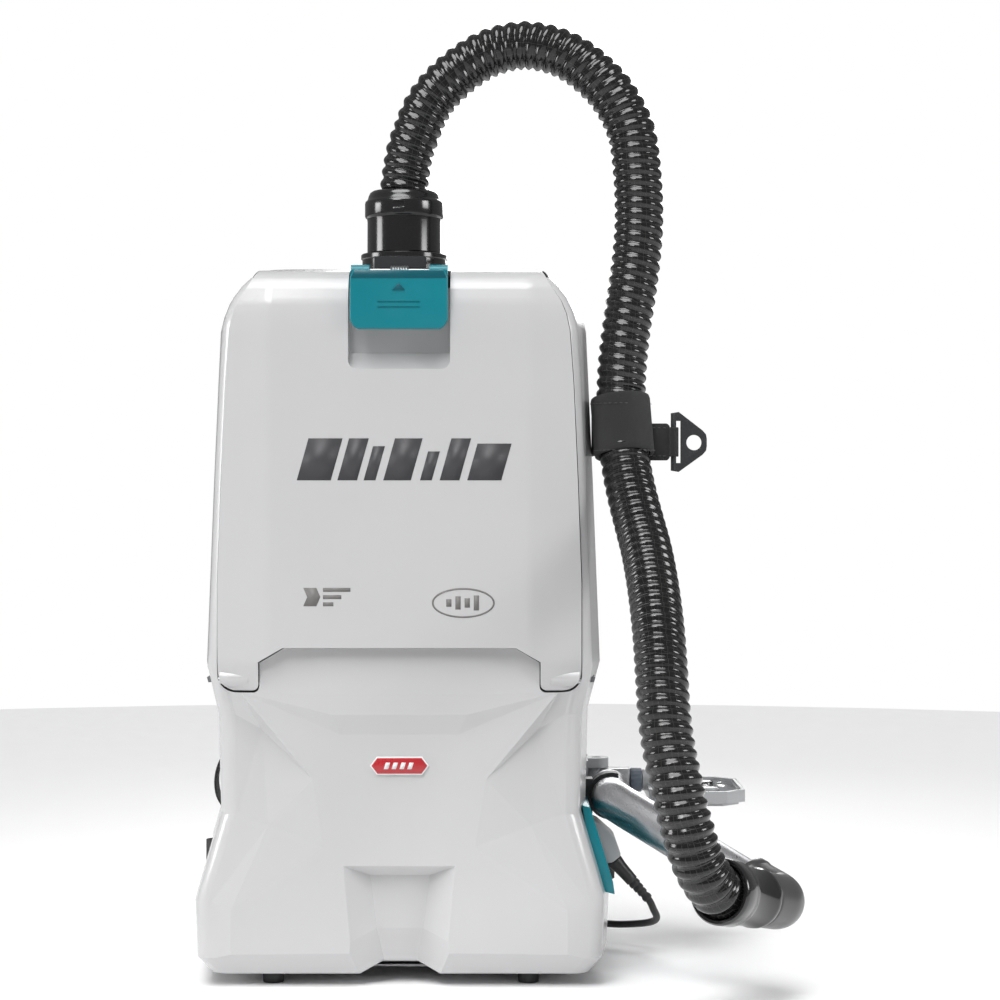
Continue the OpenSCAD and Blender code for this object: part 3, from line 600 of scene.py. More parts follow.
def make_elbow():
    a, b = Vector(CUFF_START), Vector(CUFF_END)
    aim = (b - a).normalized()
    corner = b + 39 * aim
    bend = Vector(PIPE_BEND)
    out = (bend - corner).normalized()
    route = [b + 0.4 * aim, b + 8 * aim, b + 16 * aim, b + 24 * aim]
    route += [corner - 11 * aim + 0.5 * out, corner - 4.5 * aim + 3 * out, corner + 8 * out,
              corner + 18 * out]
    route += [corner + 27 * out, corner + 36 * out]
    path = smooth_path(route, 1.5)
    n = len(path) - 1

    def radius(i, angle):
        t = i / n
        r = 21.0 - 1.0 * t
        if t < 0.02:
            r -= 1.0
        if 0.9 < t < 0.985:
            r += 0.9
        if t >= 0.985:
            r -= 0.6
        return r

    elbow = swept_tube("grey_elbow", path, radius, 64, wall=4.5)
    return finish_piece(elbow, "root", "dark_plastic", "elbow", material=ELBOW_GREY, crisp=50)


def make_pipe():
    corner = Vector(CUFF_END) + 39 * (Vector(CUFF_END) - Vector(CUFF_START)).normalized()
    bend = Vector(PIPE_BEND)
    out = (bend - corner).normalized()
    end_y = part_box("bent_pipe")[1][1] / MM
    route = [corner + 17 * out, corner + 60 * out, corner + 110 * out, bend - 44 * out, bend - 30 * out,
             bend - 17 * out + Vector((0, 0.4, 0)), bend + Vector((1.5, 0.3, -0.6)),
             bend + Vector((0, 14, 0)), bend + Vector((0, 26, 0)), bend + Vector((0, 44, 0)),
             (167, end_y - 14, 134),
             (167, end_y, 134)]
    path = smooth_path(route, 1.5)

    def radius(i, angle):
        from_end = (len(path) - 1 - i) * 1.5
        if from_end < 26:
            return 17.1 if from_end > 1.6 else 16.7
        return 16.0 + 1.1 * max(0, min(1, (29 - from_end) / 3))

    pipe = swept_tube("silver_pipe", path, radius, 64, wall=1.7)
    return finish_piece(pipe, "root", "pipe_metal", "bent_pipe", crisp=50)


hose, hose_path, hose_length = make_hose()
end_cuff = make_end_cuff()
elbow = make_elbow()
pipe = make_pipe()
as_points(hose_path)
cable, cable_path, cable_length = make_cable()
relief = make_strain_relief()
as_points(cable_path)


# ---------------------------------------------------------------- housing
# Stations of the body: height, half width, front and back depth where the round corners start, and how
# much narrower the body is at its front corners than at mid depth
STATIONS = [
    (9.5, 152, -76, 78, 6), (23, 162, -86, 84, 6), (66, 164, -84, 84, 6), (132, 145, -76, 84, 6),
    (209, 147, -76, 84, 6), (246, 156.6, -84, 84, 8), (262, 156, -84, 84, 8), (390, 151, -85, 84, 8),
    (470, 147.4, -84, 84, 8), (508, 145.6, -84, 84, 8.4), (519, 143, -83, 83, 9), (530, 138.6, -81, 81, 9.5),
    (539, 132.5, -77, 76, 9.5), (546, 125.5, -72, 70, 9), (551, 118, -66, 64, 9), (555.5, 111, -30, 58, 4),
    (558, 104, -6, 52, 2)]
CORNER = 14
# Facet corners on the left of the front, as x, z and depth
FRONT = {
    "b0": (-31, 9.5, -76), "b1": (-38, 27, -88), "b1o": (-129, 26, -88), "b2o": (-129, 60, -88),
    "c1": (-58, 108, -83), "c2": (-43, 93.5, -84.5), "c3": (-37.5, 36, -88), "d1": (-23, 85, -72),
    "d2": (-18, 44, -72), "d3": (-12.5, 18, -65), "d4": (-25, 9.5, -46), "e1": (-101, 124, -79),
    "f1": (-66.3, 159.6, -85), "g1": (-106.2, 197.5, -75), "h1": (-122, 227, -85), "m1": (-56, 224.8, -88.5),
    "m2": (-52, 209.7, -88.5), "m3": (-45, 194.3, -84), "m4": (-66, 176.5, -84.5), "n1": (-56, 262, -85)}
# Faces on the left of the front; a0 to a6 are the corner starts of the stations
LEFT_FACES = [
    "a0 b0 b1 b1o a1", "a1 b1o b2o a2", "b1o b1 c3 b2o", "b2o c3 c2 c1", "a2 a3 e1", "a2 e1 b2o", "e1 c1 b2o",
    "a3 a4 g1", "a3 g1 e1", "g1 f1 e1", "f1 c1 e1", "g1 h1 f1", "a4 a5 h1 g1", "a5 a6 n1 h1", "h1 n1 m1",
    "h1 m1 m2", "h1 m2 m3", "h1 m3 m4", "h1 m4 f1", "c2 d1 d2 c3", "b1 c3 d2 d3 b0", "b0 d3 d4"]
# Faces across the middle; a trailing apostrophe is the mirrored corner
MIDDLE_FACES = [
    "n1 n1' m1' m1", "m1 m1' m2' m2", "m2 m2' m3' m3", "m3 m3' m4' f1' c1' c2' c2 c1 f1 m4", "c2 c2' d1' d1",
    "d1 d1' d2' d2", "d2 d2' d3' d3", "d3 d3' d4' d4"]


def station_ring(z, w, f, b, pinch, inset=0.0, steps=9):
    """Points round the back of a station, from the left corner start to the right one."""
    w, f, b, r = w - inset, f + inset, b - inset, CORNER - inset
    n = w - pinch
    ring = []
    for cx, cy, start in ((-n + r, f + r, 270), (-w + r, b - r, 180), (w - r, b - r, 90), (n - r, f + r, 0)):
        ring += [(x, y, z) for x, y in corner_points(cx, cy, r, start, -90, steps)]
        if cx == -n + r:
            ring.append((-w, max(-6, f + r + 4), z))
        elif cx == w - r:
            ring.append((w, max(-6, f + r + 4), z))
    return ring


def body_cage():
    rings = [station_ring(*s) for s in STATIONS]
    n = len(rings[0])
    points = [p for ring in rings for p in ring]
    names = {}
    for k in range(7):
        names["a%d" % k] = k * n
        names["a%d'" % k] = k * n + n - 1
    for name, (x, z, y) in FRONT.items():
        names[name] = len(points)
        points.append((x, y, z))
        names[name + "'"] = len(points)
        points.append((-x, y, z))
    faces = [[k * n + i, k * n + i + 1, (k + 1) * n + i + 1, (k + 1) * n + i]
             for k in range(len(rings) - 1) for i in range(n - 1)]
    for row in LEFT_FACES:
        keys = row.split()
        faces.append([names[k] for k in keys])
        faces.append([names[k + "'"] for k in reversed(keys)])
    for row in MIDDLE_FACES:
        faces.append([names[k] for k in row.split()])
    top = [k * n for k in range(6, len(rings))]
    ends = [k * n + n - 1 for k in range(6, len(rings))]
    faces.append([top[0], names["n1"], names["n1'"], ends[0], ends[1], top[1]])
    for i in range(1, len(top) - 1):
        faces.append([top[i], ends[i], ends[i + 1], top[i + 1]])
    last = len(rings) - 1
    faces.append([last * n + i for i in range(n)])
    faces.append([i for i in range(n)] + [names["b0'"], names["d4'"], names["d4"], names["b0"]])
    return mesh_piece("body_cage", points, faces)


def inner_form(name, inset):
    """The room inside the shells: a plain loft inset from the stations and below every facet."""
    rings = []
    for k, (z, w, f, b, pinch) in enumerate(STATIONS):
        f = max(f, -82) if k in (1, 2) else f
        z = z + inset if k == 0 else (z - inset if z > 540 else z)
        rings.append(station_ring(z, w, f, b, pinch, inset))
    return loft(name, rings)


def half_outline(g, foot, top):
    return [(89 - 0.4 * g, 261 - g), (108 - g, 250 - g), (108 - g, 228 - foot), (139.4 + g, 228 - foot),
            (139.4 + g, 310), (136.6 + g, 389), (133.4 + g, 462), (130.4 + g, 504), (127.6 + g, 517),
            (123.6 + g, 527), (117 + g, 537), (109 + g, top)]


def lid_outline(g, foot, top, round_foot=0):
    half = half_outline(g, foot, top)
    if round_foot:
        x, z = half[3]
        r = round_foot
        arc = corner_points(x - r, z + r, r, -90, 90, 9)
        x0, z0 = half[2]
        inner = [(x0 + 5 - 5 * math.cos(math.radians(a)), z0 + 5 - 5 * math.sin(math.radians(a)))
                 for a in range(0, 91, 15)]
        half = half[:2] + inner + arc + half[4:]
    return half + [(-x, z) for x, z in reversed(half)]


def soft_box(name, a, b, r, steps=6):
    """A block with round upright edges."""
    ring = []
    for cx, cy, start in ((b[0] - r, b[1] - r, 0), (a[0] + r, b[1] - r, 90), (a[0] + r, a[1] + r, 180),
                          (b[0] - r, a[1] + r, 270)):
        ring += corner_points(cx, cy, r, start, 90, steps)
    return plate_xy(name, ring, a[2], b[2])


def crease(body):
    """Softens every crease of the front facets, and the sharper ones elsewhere."""
    shell = bmesh.new()
    shell.from_mesh(body.data)
    weight = shell.edges.layers.float.new("bevel_weight_edge")
    for edge in shell.edges:
        if len(edge.link_faces) != 2:
            continue
        angle = math.degrees(edge.calc_face_angle(0))
        middle = (edge.verts[0].co + edge.verts[1].co) / 2 / MM
        facet = middle.y < -60 and abs(middle.x) < 138 and middle.z < 275
        edge[weight] = 1.0 if angle > (5 if facet else 20) else 0.0
    shell.to_mesh(body.data)
    shell.free()
    modify(body, "BEVEL", width=1.3 * MM, segments=3, limit_method="WEIGHT")
    apply_modifiers(body)


def make_housing():
    body = body_cage()
    crease(body)
    room = inner_form("room", SHELL_WALL)
    pocket_wall = slab("pocket_wall", lid_outline(3.4, 4.6, 590, 17), -130, -53)
    combine(room, pocket_wall, "DIFFERENCE")
    cut(room, box("recess_wall", (-46, -100, -5), (46, -62, 98)))
    cut(body, room)
    cut(body, slab("lid_pocket", lid_outline(0.7, 1.6, 552, 14), -130, -56),
        box("top_pocket", (-160, -130, 546), (160, -56, 600)),
        slab("chamber_mouth", lid_outline(-7, -7, 547, 8), -60, -48),
        rod("port_hole", 30, 540, 580, PORT_AXIS, sides=72),
        soft_box("battery_slot", (-190, -42.2, 40.8), (-52.8, 42.2, 109.2), 4),
        box("exhaust_hole", (124, -38, 78), (184, 14, 116)),
        slab("cable_notch", rect(150, 190, 84, 108), 30, 58))
    back = body.copy()
    back.data = body.data.copy()
    back.name = "housing_back"
    bpy.context.collection.objects.link(back)
    body.name = "housing_front"
    cut(body, box("behind", (-200, SPLIT_Y - 0.2, -10), (200, 130, 600)))
    cut(back, box("ahead", (-200, -130, -10), (200, SPLIT_Y + 0.2, 600)))
    for half, node in ((body, "main_housing"), (back, "back_shell")):
        bevel(half, 0.5, 1, 50)
        smooth_by_angle(half, 32)
        weighted(half)
        finish_piece(half, "root", "shell_white", node)


make_housing()


def make_feet():
    """Low rubber feet with a softened rim and a shallow hollow under each."""
    for k, (x, y) in enumerate(((-99, -58), (99, -58), (-99, 58), (99, 58))):
        foot = turned("foot_%d" % k, [(3, 1), (6.2, 0.6), (6.8, 0.1), (7.6, 0.1), (8, 0.8), (8.3, 6),
                                      (8.6, 12),
                                      (0.5, 12), (0.5, 1)], (x, y, 0), sides=48)
        finish_piece(foot, "root", "seal_rubber", *(["feet"] if k == 0 else []), crisp=40)


def make_hinge_pins():
    for side in (-1, 1):
        pin = turned("hinge_pin_%s" % ("left" if side < 0 else "right"), [(2.98, -10), (2.98, 10)],
                     (side * 129, *HINGE), X_AXIS, 40, False)
        finish_piece(pin, "root", "steel", *(["lid_hinge_pins"] if side < 0 else []), soft=(0.4, 2, 40),
                     crisp=40)


make_feet()
make_hinge_pins()


# ---------------------------------------------------------------- lid, latch and badge
# Stations of the lid crown: height, depth of the flat front, depth at the sides
CROWN = [
    (215, -82, -75), (228, -86, -79), (250, -93, -85), (262, -94, -86), (400, -94, -86), (500, -93.6, -85.5),
    (515, -93, -84.6), (526, -91.6, -82.6), (538, -87.2, -78.4), (546, -80, -73), (550, -72, -67.5),
    (553, -60, -58),
    (560, -40, -40)]


def crown_form(name, inset):
    rings = []
    for z, flat, side in CROWN:
        f, s = flat + inset, side + inset
        rings.append([(-162, -30, z), (-162, s + 4, z), (-141, s, z), (-100, f, z), (100, f, z), (141, s, z),
                      (162, s + 4, z), (162, -30, z)])
    return loft(name, rings)


def recess_outline(grow, top):
    w = 39 + grow
    r = 7
    arc = [(w - r + r * math.sin(math.radians(a)), 474 - grow + r - r * math.cos(math.radians(a)))
           for a in range(0, 91, 15)]
    half = arc + [(w, top)]
    return half + [(-x, z) for x, z in reversed(half)]


def make_lid():
    lid = crown_form("lid_skin", 0)
    bevel(lid, 4, 4, 9)
    combine(lid, slab("lid_edge", lid_outline(0, 0, 551.5, 14), -130, -58), "INTERSECT")
    bevel(lid, 1.1, 3, 40)
    room = crown_form("lid_room", SHELL_WALL)
    combine(room, slab("lid_inside", lid_outline(-3, -3, 548.5, 11), -120, -56), "INTERSECT")
    cut(room, slab("recess_wall", recess_outline(3, 580), -130, -73))
    cut(lid, room)
    cut(lid, slab("recess", recess_outline(0, 580), -130, -76),
        box("top_gap", (-39, -90, 537), (39, -50, 570)))
    ledge = loft("ledge", [[(x, -76.5, 472.5), (x, -86, 474), (x, -76.5, 487)] for x in (-38.9, 38.9)])
    combine(lid, ledge, "UNION")
    cut(lid, rod("pin_hole", 2.5, -46, 46, LATCH_AXIS, X_AXIS, 32))
    for side in (-1, 1):
        boss = rod("hinge_boss", 7, -11, 11, (side * 127, -79, 237), X_AXIS, 40)
        combine(boss, slab("boss_edge", lid_outline(-0.2, -0.2, 551.5, 13.8), -86, -60), "INTERSECT")
        combine(lid, boss, "UNION")
        cut(lid, rod("hinge_hole", 3.05, -20, 20, (side * 128, *HINGE), X_AXIS, 32))
    smooth_by_angle(lid, 30)
    weighted(lid)
    return finish_piece(lid, "lid", "shell_white", "lid_cover")


def raised(name, outline, y_front, y_back, soft=0.3):
    """A thin raised shape on a front face."""
    piece = slab(name, outline, y_front, y_back)
    bevel(piece, soft, 2, 40)
    smooth_by_angle(piece, 40)
    return piece


def make_latch():
    lever = slab("latch_plate", [(-37.4, 511), (-34.5, 506), (-31, 504), (31, 504), (34.5, 506), (37.4, 511),
                                 (37.4, 543), (34.6, 549.2), (-34.6, 549.2), (-37.4, 543)], -99.6, -94)
    bevel(lever, 1.3, 3, 30)
    for z in (520.5, 524.5):
        cut(lever, slab("grip_line", rect(-16, 16, z - 0.7, z + 0.7), -102, -99))
    for side in (-1, 1):
        ear = box("ear", (side * 30 - 7, -95.5, 544), (side * 30 + 7, -84, 549))
        combine(lever, ear, "UNION")
        combine(lever, rod("barrel", 5.15, -7, 7, (side * 30, -84, 549), X_AXIS, 40), "UNION")
    combine(lever, box("hook_bar", (-22, -96, 546.4), (22, -70.5, 548.8)), "UNION")
    cut(lever, rod("lever_bore", 2.56, -50, 50, LATCH_AXIS, X_AXIS, 32),
        box("spring_gap", (-14, -91, 541), (14, -76, 556)))
    smooth_by_angle(lever, 32)
    weighted(lever)
    finish_piece(lever, "latch", "teal_plastic", "latch_lever")
    pin = rod("short_latch_pin", 2.48, -36.6, 36.6, LATCH_AXIS, X_AXIS, 32)
    finish_piece(pin, "lid", "steel", "latch_pin", soft=(0.4, 2, 40), crisp=40)
    arrow = raised("latch_arrow", [(-5, 533.6), (5, 533.6), (0, 539)], -100.3, -99)
    finish_piece(arrow, "latch", "teal_plastic", material=TEAL_DARK)
    hood = raised("latch_hood", [(-36.6, 542.6), (36.6, 542.6), (34, 548.6), (-34, 548.6)], -99.9, -98, 0.4)
    finish_piece(hood, "latch", "teal_plastic", material=TEAL_DARK)


def print_shape(name, outline, material):
    """A printed shape 0.12 mm proud of the lid's face."""
    finish_piece(slab(name, outline, LID_FACE - 0.12, LID_FACE + 0.2), "lid", "shell_white",
                 material=material)


def make_prints():
    """Plain abstract marks: a band of leaning bars and two small signs, with no letters."""
    bars = [(-78, 26, 0), (-47, 15, 0), (-27, 9, 6), (-12, 21, 0), (16, 9, 10), (31, 15, 0), (52, 26, 4)]
    for k, (x, w, drop) in enumerate(bars):
        top = 421 - drop
        lean = (top - 389) * 0.28
        print_shape("band_bar_%d" % k, [(x, 389), (x + w, 389), (x + w + lean, top), (x + lean, top)], INK)
    left = [[(-73, 293), (-63, 293), (-60, 300), (-63, 307), (-73, 307), (-70, 300)],
            rect(-58, -50, 293, 296), rect(-58, -44, 298.5, 301.5), rect(-58, -37, 304, 307)]
    for k, outline in enumerate(left):
        print_shape("small_sign_%d" % k, outline, INK_LIGHT)
    ring, hole = ([(49 + w * math.cos(a), 295.5 + h * math.sin(a)) for a in angles(48)]
                  for w, h in ((24, 11.5), (22.6, 10.1)))
    oval = slab("oval_sign", ring, LID_FACE - 0.12, LID_FACE + 0.2)
    cut(oval, slab("oval_hole", hole, LID_FACE - 1, LID_FACE + 1))
    finish_piece(oval, "lid", "shell_white", material=INK_LIGHT)
    for k, (x, h) in enumerate(((36, 4), (43, 7), (50, 5), (57, 8))):
        print_shape("oval_bar_%d" % k, rect(x, x + 4, 295.5 - h / 1.4, 295.5 + h / 1.4), INK_LIGHT)


def hexagon(w, h, cz):
    slope = 0.75 * h
    return [(-w, cz), (-w + slope, cz - h), (w - slope, cz - h), (w, cz), (w - slope, cz + h),
            (-w + slope, cz + h)]


def make_badge():
    rim = raised("badge_rim", hexagon(22.6, 6.9, 170.5), -86.2, -84.2, 0.3)
    finish_piece(rim, "root", "badge_red", material=PAINT_WHITE)
    face = raised("badge_face", hexagon(21.4, 6.0, 170.5), -86.6, -85, 0.3)
    finish_piece(face, "root", "badge_red", "badge")
    for k, x in enumerate((-12, -6, 0, 6)):
        outline = [(x, 168), (x + 3.4, 168), (x + 5, 173), (x + 1.6, 173)]
        mark = slab("badge_mark_%d" % k, outline, -86.75, -86.3)
        finish_piece(mark, "root", "badge_red", material=PAINT_WHITE)


make_lid()
make_latch()
make_prints()
make_badge()


# ---------------------------------------------------------------- inlet
def make_inlet():
    profile = [(26, 519), (29.4, 519), (29.4, 557.4), (33.2, 557.4), (33.6, 558.4), (33.6, 566.4),
               (34.6, 567.2),
               (34.6, 570.2), (33.8, 571), (26, 571), (26, 565.4), (28, 565.2), (28, 558.6), (26, 558.4)]
    port = turned("inlet_neck", profile, PORT_AXIS)
    finish_piece(port, "root", "black_plastic", "inlet_port", crisp=40)
    profile = [(16, 545), (25.9, 545), (25.9, 571.4), (28.9, 571.4), (29.6, 572.2), (29.5, 597),
               (29.9, 599.6),
               (31.0, 600.4), (31.5, 601.6), (31.5, 611.6), (31.1, 613.2), (30.1, 614), (29.3, 615),
               (28.6, 617.6),
               (27.4, 620.2), (25.4, 621.6), (20.4, 622), (20.2, 604), (16, 603)]
    cuff = turned("hose_collar", profile, PORT_AXIS, sides=128)
    cut(cuff, box("collar_slot", (-11, -34, 606), (1, -20.5, 611)))
    finish_piece(cuff, "inlet_cuff", "black_plastic", "hose_cuff", soft=(0.35, 2, 50), crisp=40)


make_inlet()


# ---------------------------------------------------------------- hose strap and holder ring
def make_hose_strap():
    """Webbing wrapped round the hose, its tab, and the belt that ties it to the body."""
    mid = Vector((173, -42, 431))
    lean = Vector((-3, 12, 46)).normalized()
    rows = [mid + lean * (2 * k - 23) for k in range(24)]

    def radius(i, angle):
        return 23.4 + 0.5 * math.sin(3 * angle) - (0.5 if i in (0, 23) else 0)

    band = swept_tube("hose_band", rows, radius, 72, wall=2.4)
    finish_piece(band, "root", "webbing", "hose_strap", crisp=50)
    for side in (-1, 1):
        ring = [mid + lean * (side * 19) + Vector((23.9 * math.cos(t), 23.9 * math.sin(t), 0))
                for t in angles(72) + [2 * math.pi]]
        stitch_line("band_stitch_%d" % side, ring, 0.3)
    outline = [(190, 405), (208, 405), (210, 407), (210, 432), (208, 434), (190, 434)]
    tab = slab("strap_tab", outline, -42.2, -37.8)
    finish_piece(tab, "root", "webbing", soft=(0.9, 3, 30), crisp=35)
    for z in (408.5, 430.5):
        stitch_line("tab_stitch_%d" % z, [Vector((x, -42.5, z)) for x in (192, 197, 202, 207)], 0.3)
    route = [(159, -30, 431), (154, -20, 431), (151.6, -8, 431), (151.2, 6, 431), (151.4, 14, 431)]
    tie = ribbon("strap_tie", smooth_path(route, 2), 44, 1.6, (0, 0, 1))
    finish_piece(tie, "root", "webbing")
    hinge = turned("tab_sleeve", [(2.5, 408), (3.8, 408), (4.0, 409), (4.0, 430), (3.8, 431), (2.5, 431)],
                   (213, -40, 0), sides=32)
    finish_piece(hinge, "root", "webbing")


def stitch_line(name, points, radius):
    """A row of separate stitches along a line of points."""
    path = smooth_path(points, 0.85)
    verts, faces = [], []
    for part in (path[k:k + 4] for k in range(0, len(path) - 3, 5)):
        frames = path_frames(part)
        base = len(verts)
        for i, (p, (u, v)) in enumerate(zip(part, frames)):
            r = radius * (0.55 if i in (0, len(part) - 1) else 1)
            verts += [tuple(p + r * (math.cos(a) * u + math.sin(a) * v)) for a in angles(6)]
        for i in range(len(part) - 1):
            for s in range(6):
                faces.append([base + i * 6 + s, base + i * 6 + (s + 1) % 6, base + (i + 1) * 6 + (s + 1) % 6,
                              base + (i + 1) * 6 + s])
        faces.append([base + s for s in range(6)])
        faces.append([base + (len(part) - 1) * 6 + s for s in range(6)])
    finish_piece(mesh_piece(name, verts, faces), "root", "webbing", material=THREAD)


def make_holder_ring():
    outline = [(211, 397), (217, 396), (235.6, 409.4), (238.4, 412.6), (239, 416), (239, 422), (238.4, 425.4),
               (235.6, 428.6), (217, 443), (211, 442)]
    ring = slab("hook_plate", outline, -41.8, -38.2)
    cut(ring, box("plate_slot", (205, -45, 403), (218.5, -35, 436)))
    combine(ring, rod("hook_rod", 2.15, 397, 442, (213, -40, 0), sides=32), "UNION")
    cut(ring, turned("hook_eye", [(6, -8), (6, 8)], (229, -40, 419), (0, 1, 0), 48, False))
    finish_piece(ring, "holder_eye", "dark_plastic", "holder_ring", soft=(0.6, 3, 40), crisp=40)


# ---------------------------------------------------------------- right side: arm, panel, covers
def make_arm():
    bar = soft_box("arm_bar", (160, 92, 129), (186, 110, 149), 3)
    combine(bar, rod("arm_root", 8, 126.3, 149.7, ARM_AXIS, sides=48), "UNION")
    combine(bar, rod("arm_pin", 3.95, 118.5, 157.5, ARM_AXIS, sides=40), "UNION")
    cut(bar, rod("arm_bore", 4.5, 176, 190, PANEL_AXIS, X_AXIS, 40))
    finish_piece(bar, "control_arm", "arm_grey", "arm", soft=(1.2, 3, 40), crisp=40)
    knob = turned("ribbed_knob", [(4.5, 186.3), (9.4, 186.3), (10, 187), (10, 195.2), (9.4, 195.9),
                                  (4.45, 195.9),
                                  (4.45, 208), (0.8, 208), (0.8, 178), (4.45, 178)], PANEL_AXIS, X_AXIS, 96)
    for vert in knob.data.vertices:
        y, z = vert.co.y / MM - 101, vert.co.z / MM - 139
        r = math.hypot(y, z)
        if r > 9.2:
            ripple = 1 - 0.045 * (1 + math.cos(16 * math.atan2(z, y))) / 2
            vert.co.y, vert.co.z = (101 + y * ripple) * MM, (139 + z * ripple) * MM
    finish_piece(knob, "knob", "knob_slate", "clamp_knob", crisp=40)


def octagon(g, c=16):
    x0, x1, y0, y1 = 200 + g, 279 - g, 45 + g, 157 - g
    c = c - 0.4 * g
    return [(x0 + c, y0), (x1 - c, y0), (x1, y0 + c), (x1, y1 - c), (x1 - c, y1), (x0 + c, y1), (x0, y1 - c),
            (x0, y0 + c)]


def make_panel():
    rim = plate_xy("panel_shell", octagon(0), 125.4, 135.5)
    combine(rim, plate_xy("panel_base", octagon(5), 123, 128), "UNION")
    combine(rim, rod("panel_boss", 9, 196.5, 214, PANEL_AXIS, X_AXIS, 48), "UNION")
    cut(rim, rod("boss_bore", 4.5, 190, 208.5, PANEL_AXIS, X_AXIS, 40))
    cut(rim, plate_xy("panel_well", [(max(x, 216), y) for x, y in octagon(3.2)], 132.6, 140))
    for x, y in KEYS:
        cut(rim, rod("button_hole", 8.2, 115, 150, (x, y, 0), sides=48))
    finish_piece(rim, "panel", "arm_grey", "panel_housing", soft=(1.1, 3, 35), crisp=35)
    face = plate_xy("panel_face", [(max(x, 217), y) for x, y in octagon(4.2)], 132.4, 133.3)
    for x, y in KEYS:
        cut(face, rod("face_hole", 8.8, 115, 150, (x, y, 0), sides=48))
    finish_piece(face, "panel", "arm_grey", material=PANEL_TOP)
    for k, (body, slot, node) in enumerate((("speed_key", "arm_grey", "speed_button"),
                                            ("power_key", "black_plastic", "power_button"))):
        button = turned("round_key_%d" % k, [(0.5, 128.6), (7.9, 128.6), (7.95, 134.6), (7.4, 135.3),
                                             (6.6, 135.4),
                                             (5.6, 134.9), (3, 134.6), (0.5, 134.5)], (*KEYS[k], 0), sides=48)
        finish_piece(button, body, slot, node, crisp=45)
    for k in range(3):
        lamp = turned("lamp_%d" % k, [(0.3, 132.8), (1.9, 132.8), (1.9, 133.8), (1.5, 134.2), (0.3, 134.3)],
                      (250, 93 + 8 * k, 0), sides=24)
        finish_piece(lamp, "panel", "arm_grey", material=PAINT_WHITE)


def make_side_covers():
    cover = slab("exhaust_frame", [(152, 70), (166.6, 66.4), (165.2, 76), (147.4, 134), (141, 136)], -50, 22)
    cut(cover, inner_form("trim", 0.05))
    for k in range(5):
        cut(cover, box("louvre_%d" % k, (134, -42, 80 + 10 * k), (173, 14, 84 + 10 * k)))
    finish_piece(cover, "root", "teal_plastic", "exhaust_cover", soft=(0.5, 2, 45), crisp=35)
    hood = slab("cable_hood", [(148, 80), (168, 80), (174.4, 85), (175, 87), (170.4, 100), (168.6, 102.4),
                               (156.5, 113),
                               (154, 114), (144, 114)], 26, 64)
    cut(hood, inner_form("trim", 0.05))
    finish_piece(hood, "root", "arm_grey", "cable_cover", soft=(1.3, 3, 35), crisp=35)


def make_battery():
    pack = soft_box("battery_case", (-152, -41, 42), (-54, 41, 108), 5)
    cut(pack, loft("battery_slope", [[(-160, y, 88), (-151.9, y, 90), (-147, y, 109),
                                      (-160, y, 109)] for y in (-50, 50)]))
    cut(pack, box("button_well", (-156, -13.3, 81.7), (-140.4, 13.3, 96.3)))
    for y in (-28, 28):
        for k in range(5):
            cut(pack, box("battery_rib", (-153, y - 8, 50 + 6 * k), (-151, y + 8, 52.6 + 6 * k)))
    finish_piece(pack, "battery", "black_plastic", "battery_pack", material=DARK, soft=(0.8, 3, 45), crisp=35)
    button = soft_box("release_key", (-151, -12.9, 82.1), (-144.4, 12.9, 95.9), 1.5)
    for k in range(4):
        cut(button, box("key_line", (-152, -9 + 5 * k, 80), (-150.4, -7.4 + 5 * k, 98)))
    finish_piece(button, "battery_release", "teal_plastic", "battery_button", soft=(0.4, 2, 45), crisp=35)


make_hose_strap()
make_holder_ring()
make_arm()
make_panel()
make_side_covers()
make_battery()


# ---------------------------------------------------------------- harness
HIP_ROUTE = [(22, 97), (60, 97), (98, 97), (125, 100.5), (143, 108), (153, 119), (160, 134)]
STRAP_ROUTE = [(98, 508), (112, 516), (128, 508), (140, 488), (148, 460), (152, 425), (152, 385), (149, 345),
               (143, 308), (134, 275), (124, 248)]


def crowned_strip(name, path, half_width, half_thick, shift, channels=()):
    """A padded strip along a path of depth and height: rounded edges, a crown and sewn channels."""
    rows = []
    n = len(path)
    for i, p in enumerate(path):
        t = tangent(path, i)
        out = Vector((0, t.z, -t.y))
        s = i / (n - 1)
        w, h, x = half_width(s), half_thick(s), shift(s)
        ring = []
        for a in angles(40):
            u, v = pillow(a)
            dent = sum(0.34 * math.exp(-((u - c) / 0.07) ** 2) for c in channels)
            dent += 0.10 * math.exp(-(((s * 5.5) % 1 - 0.5) / 0.05) ** 2)
            edge = 0.75 + 0.25 * (1 - u * u)
            rise = h * v * edge * (1 - dent)
            ring.append((x + w * u, p.y + out.y * rise, p.z + out.z * rise))
        rows.append(ring)
    return loft(name, rows)


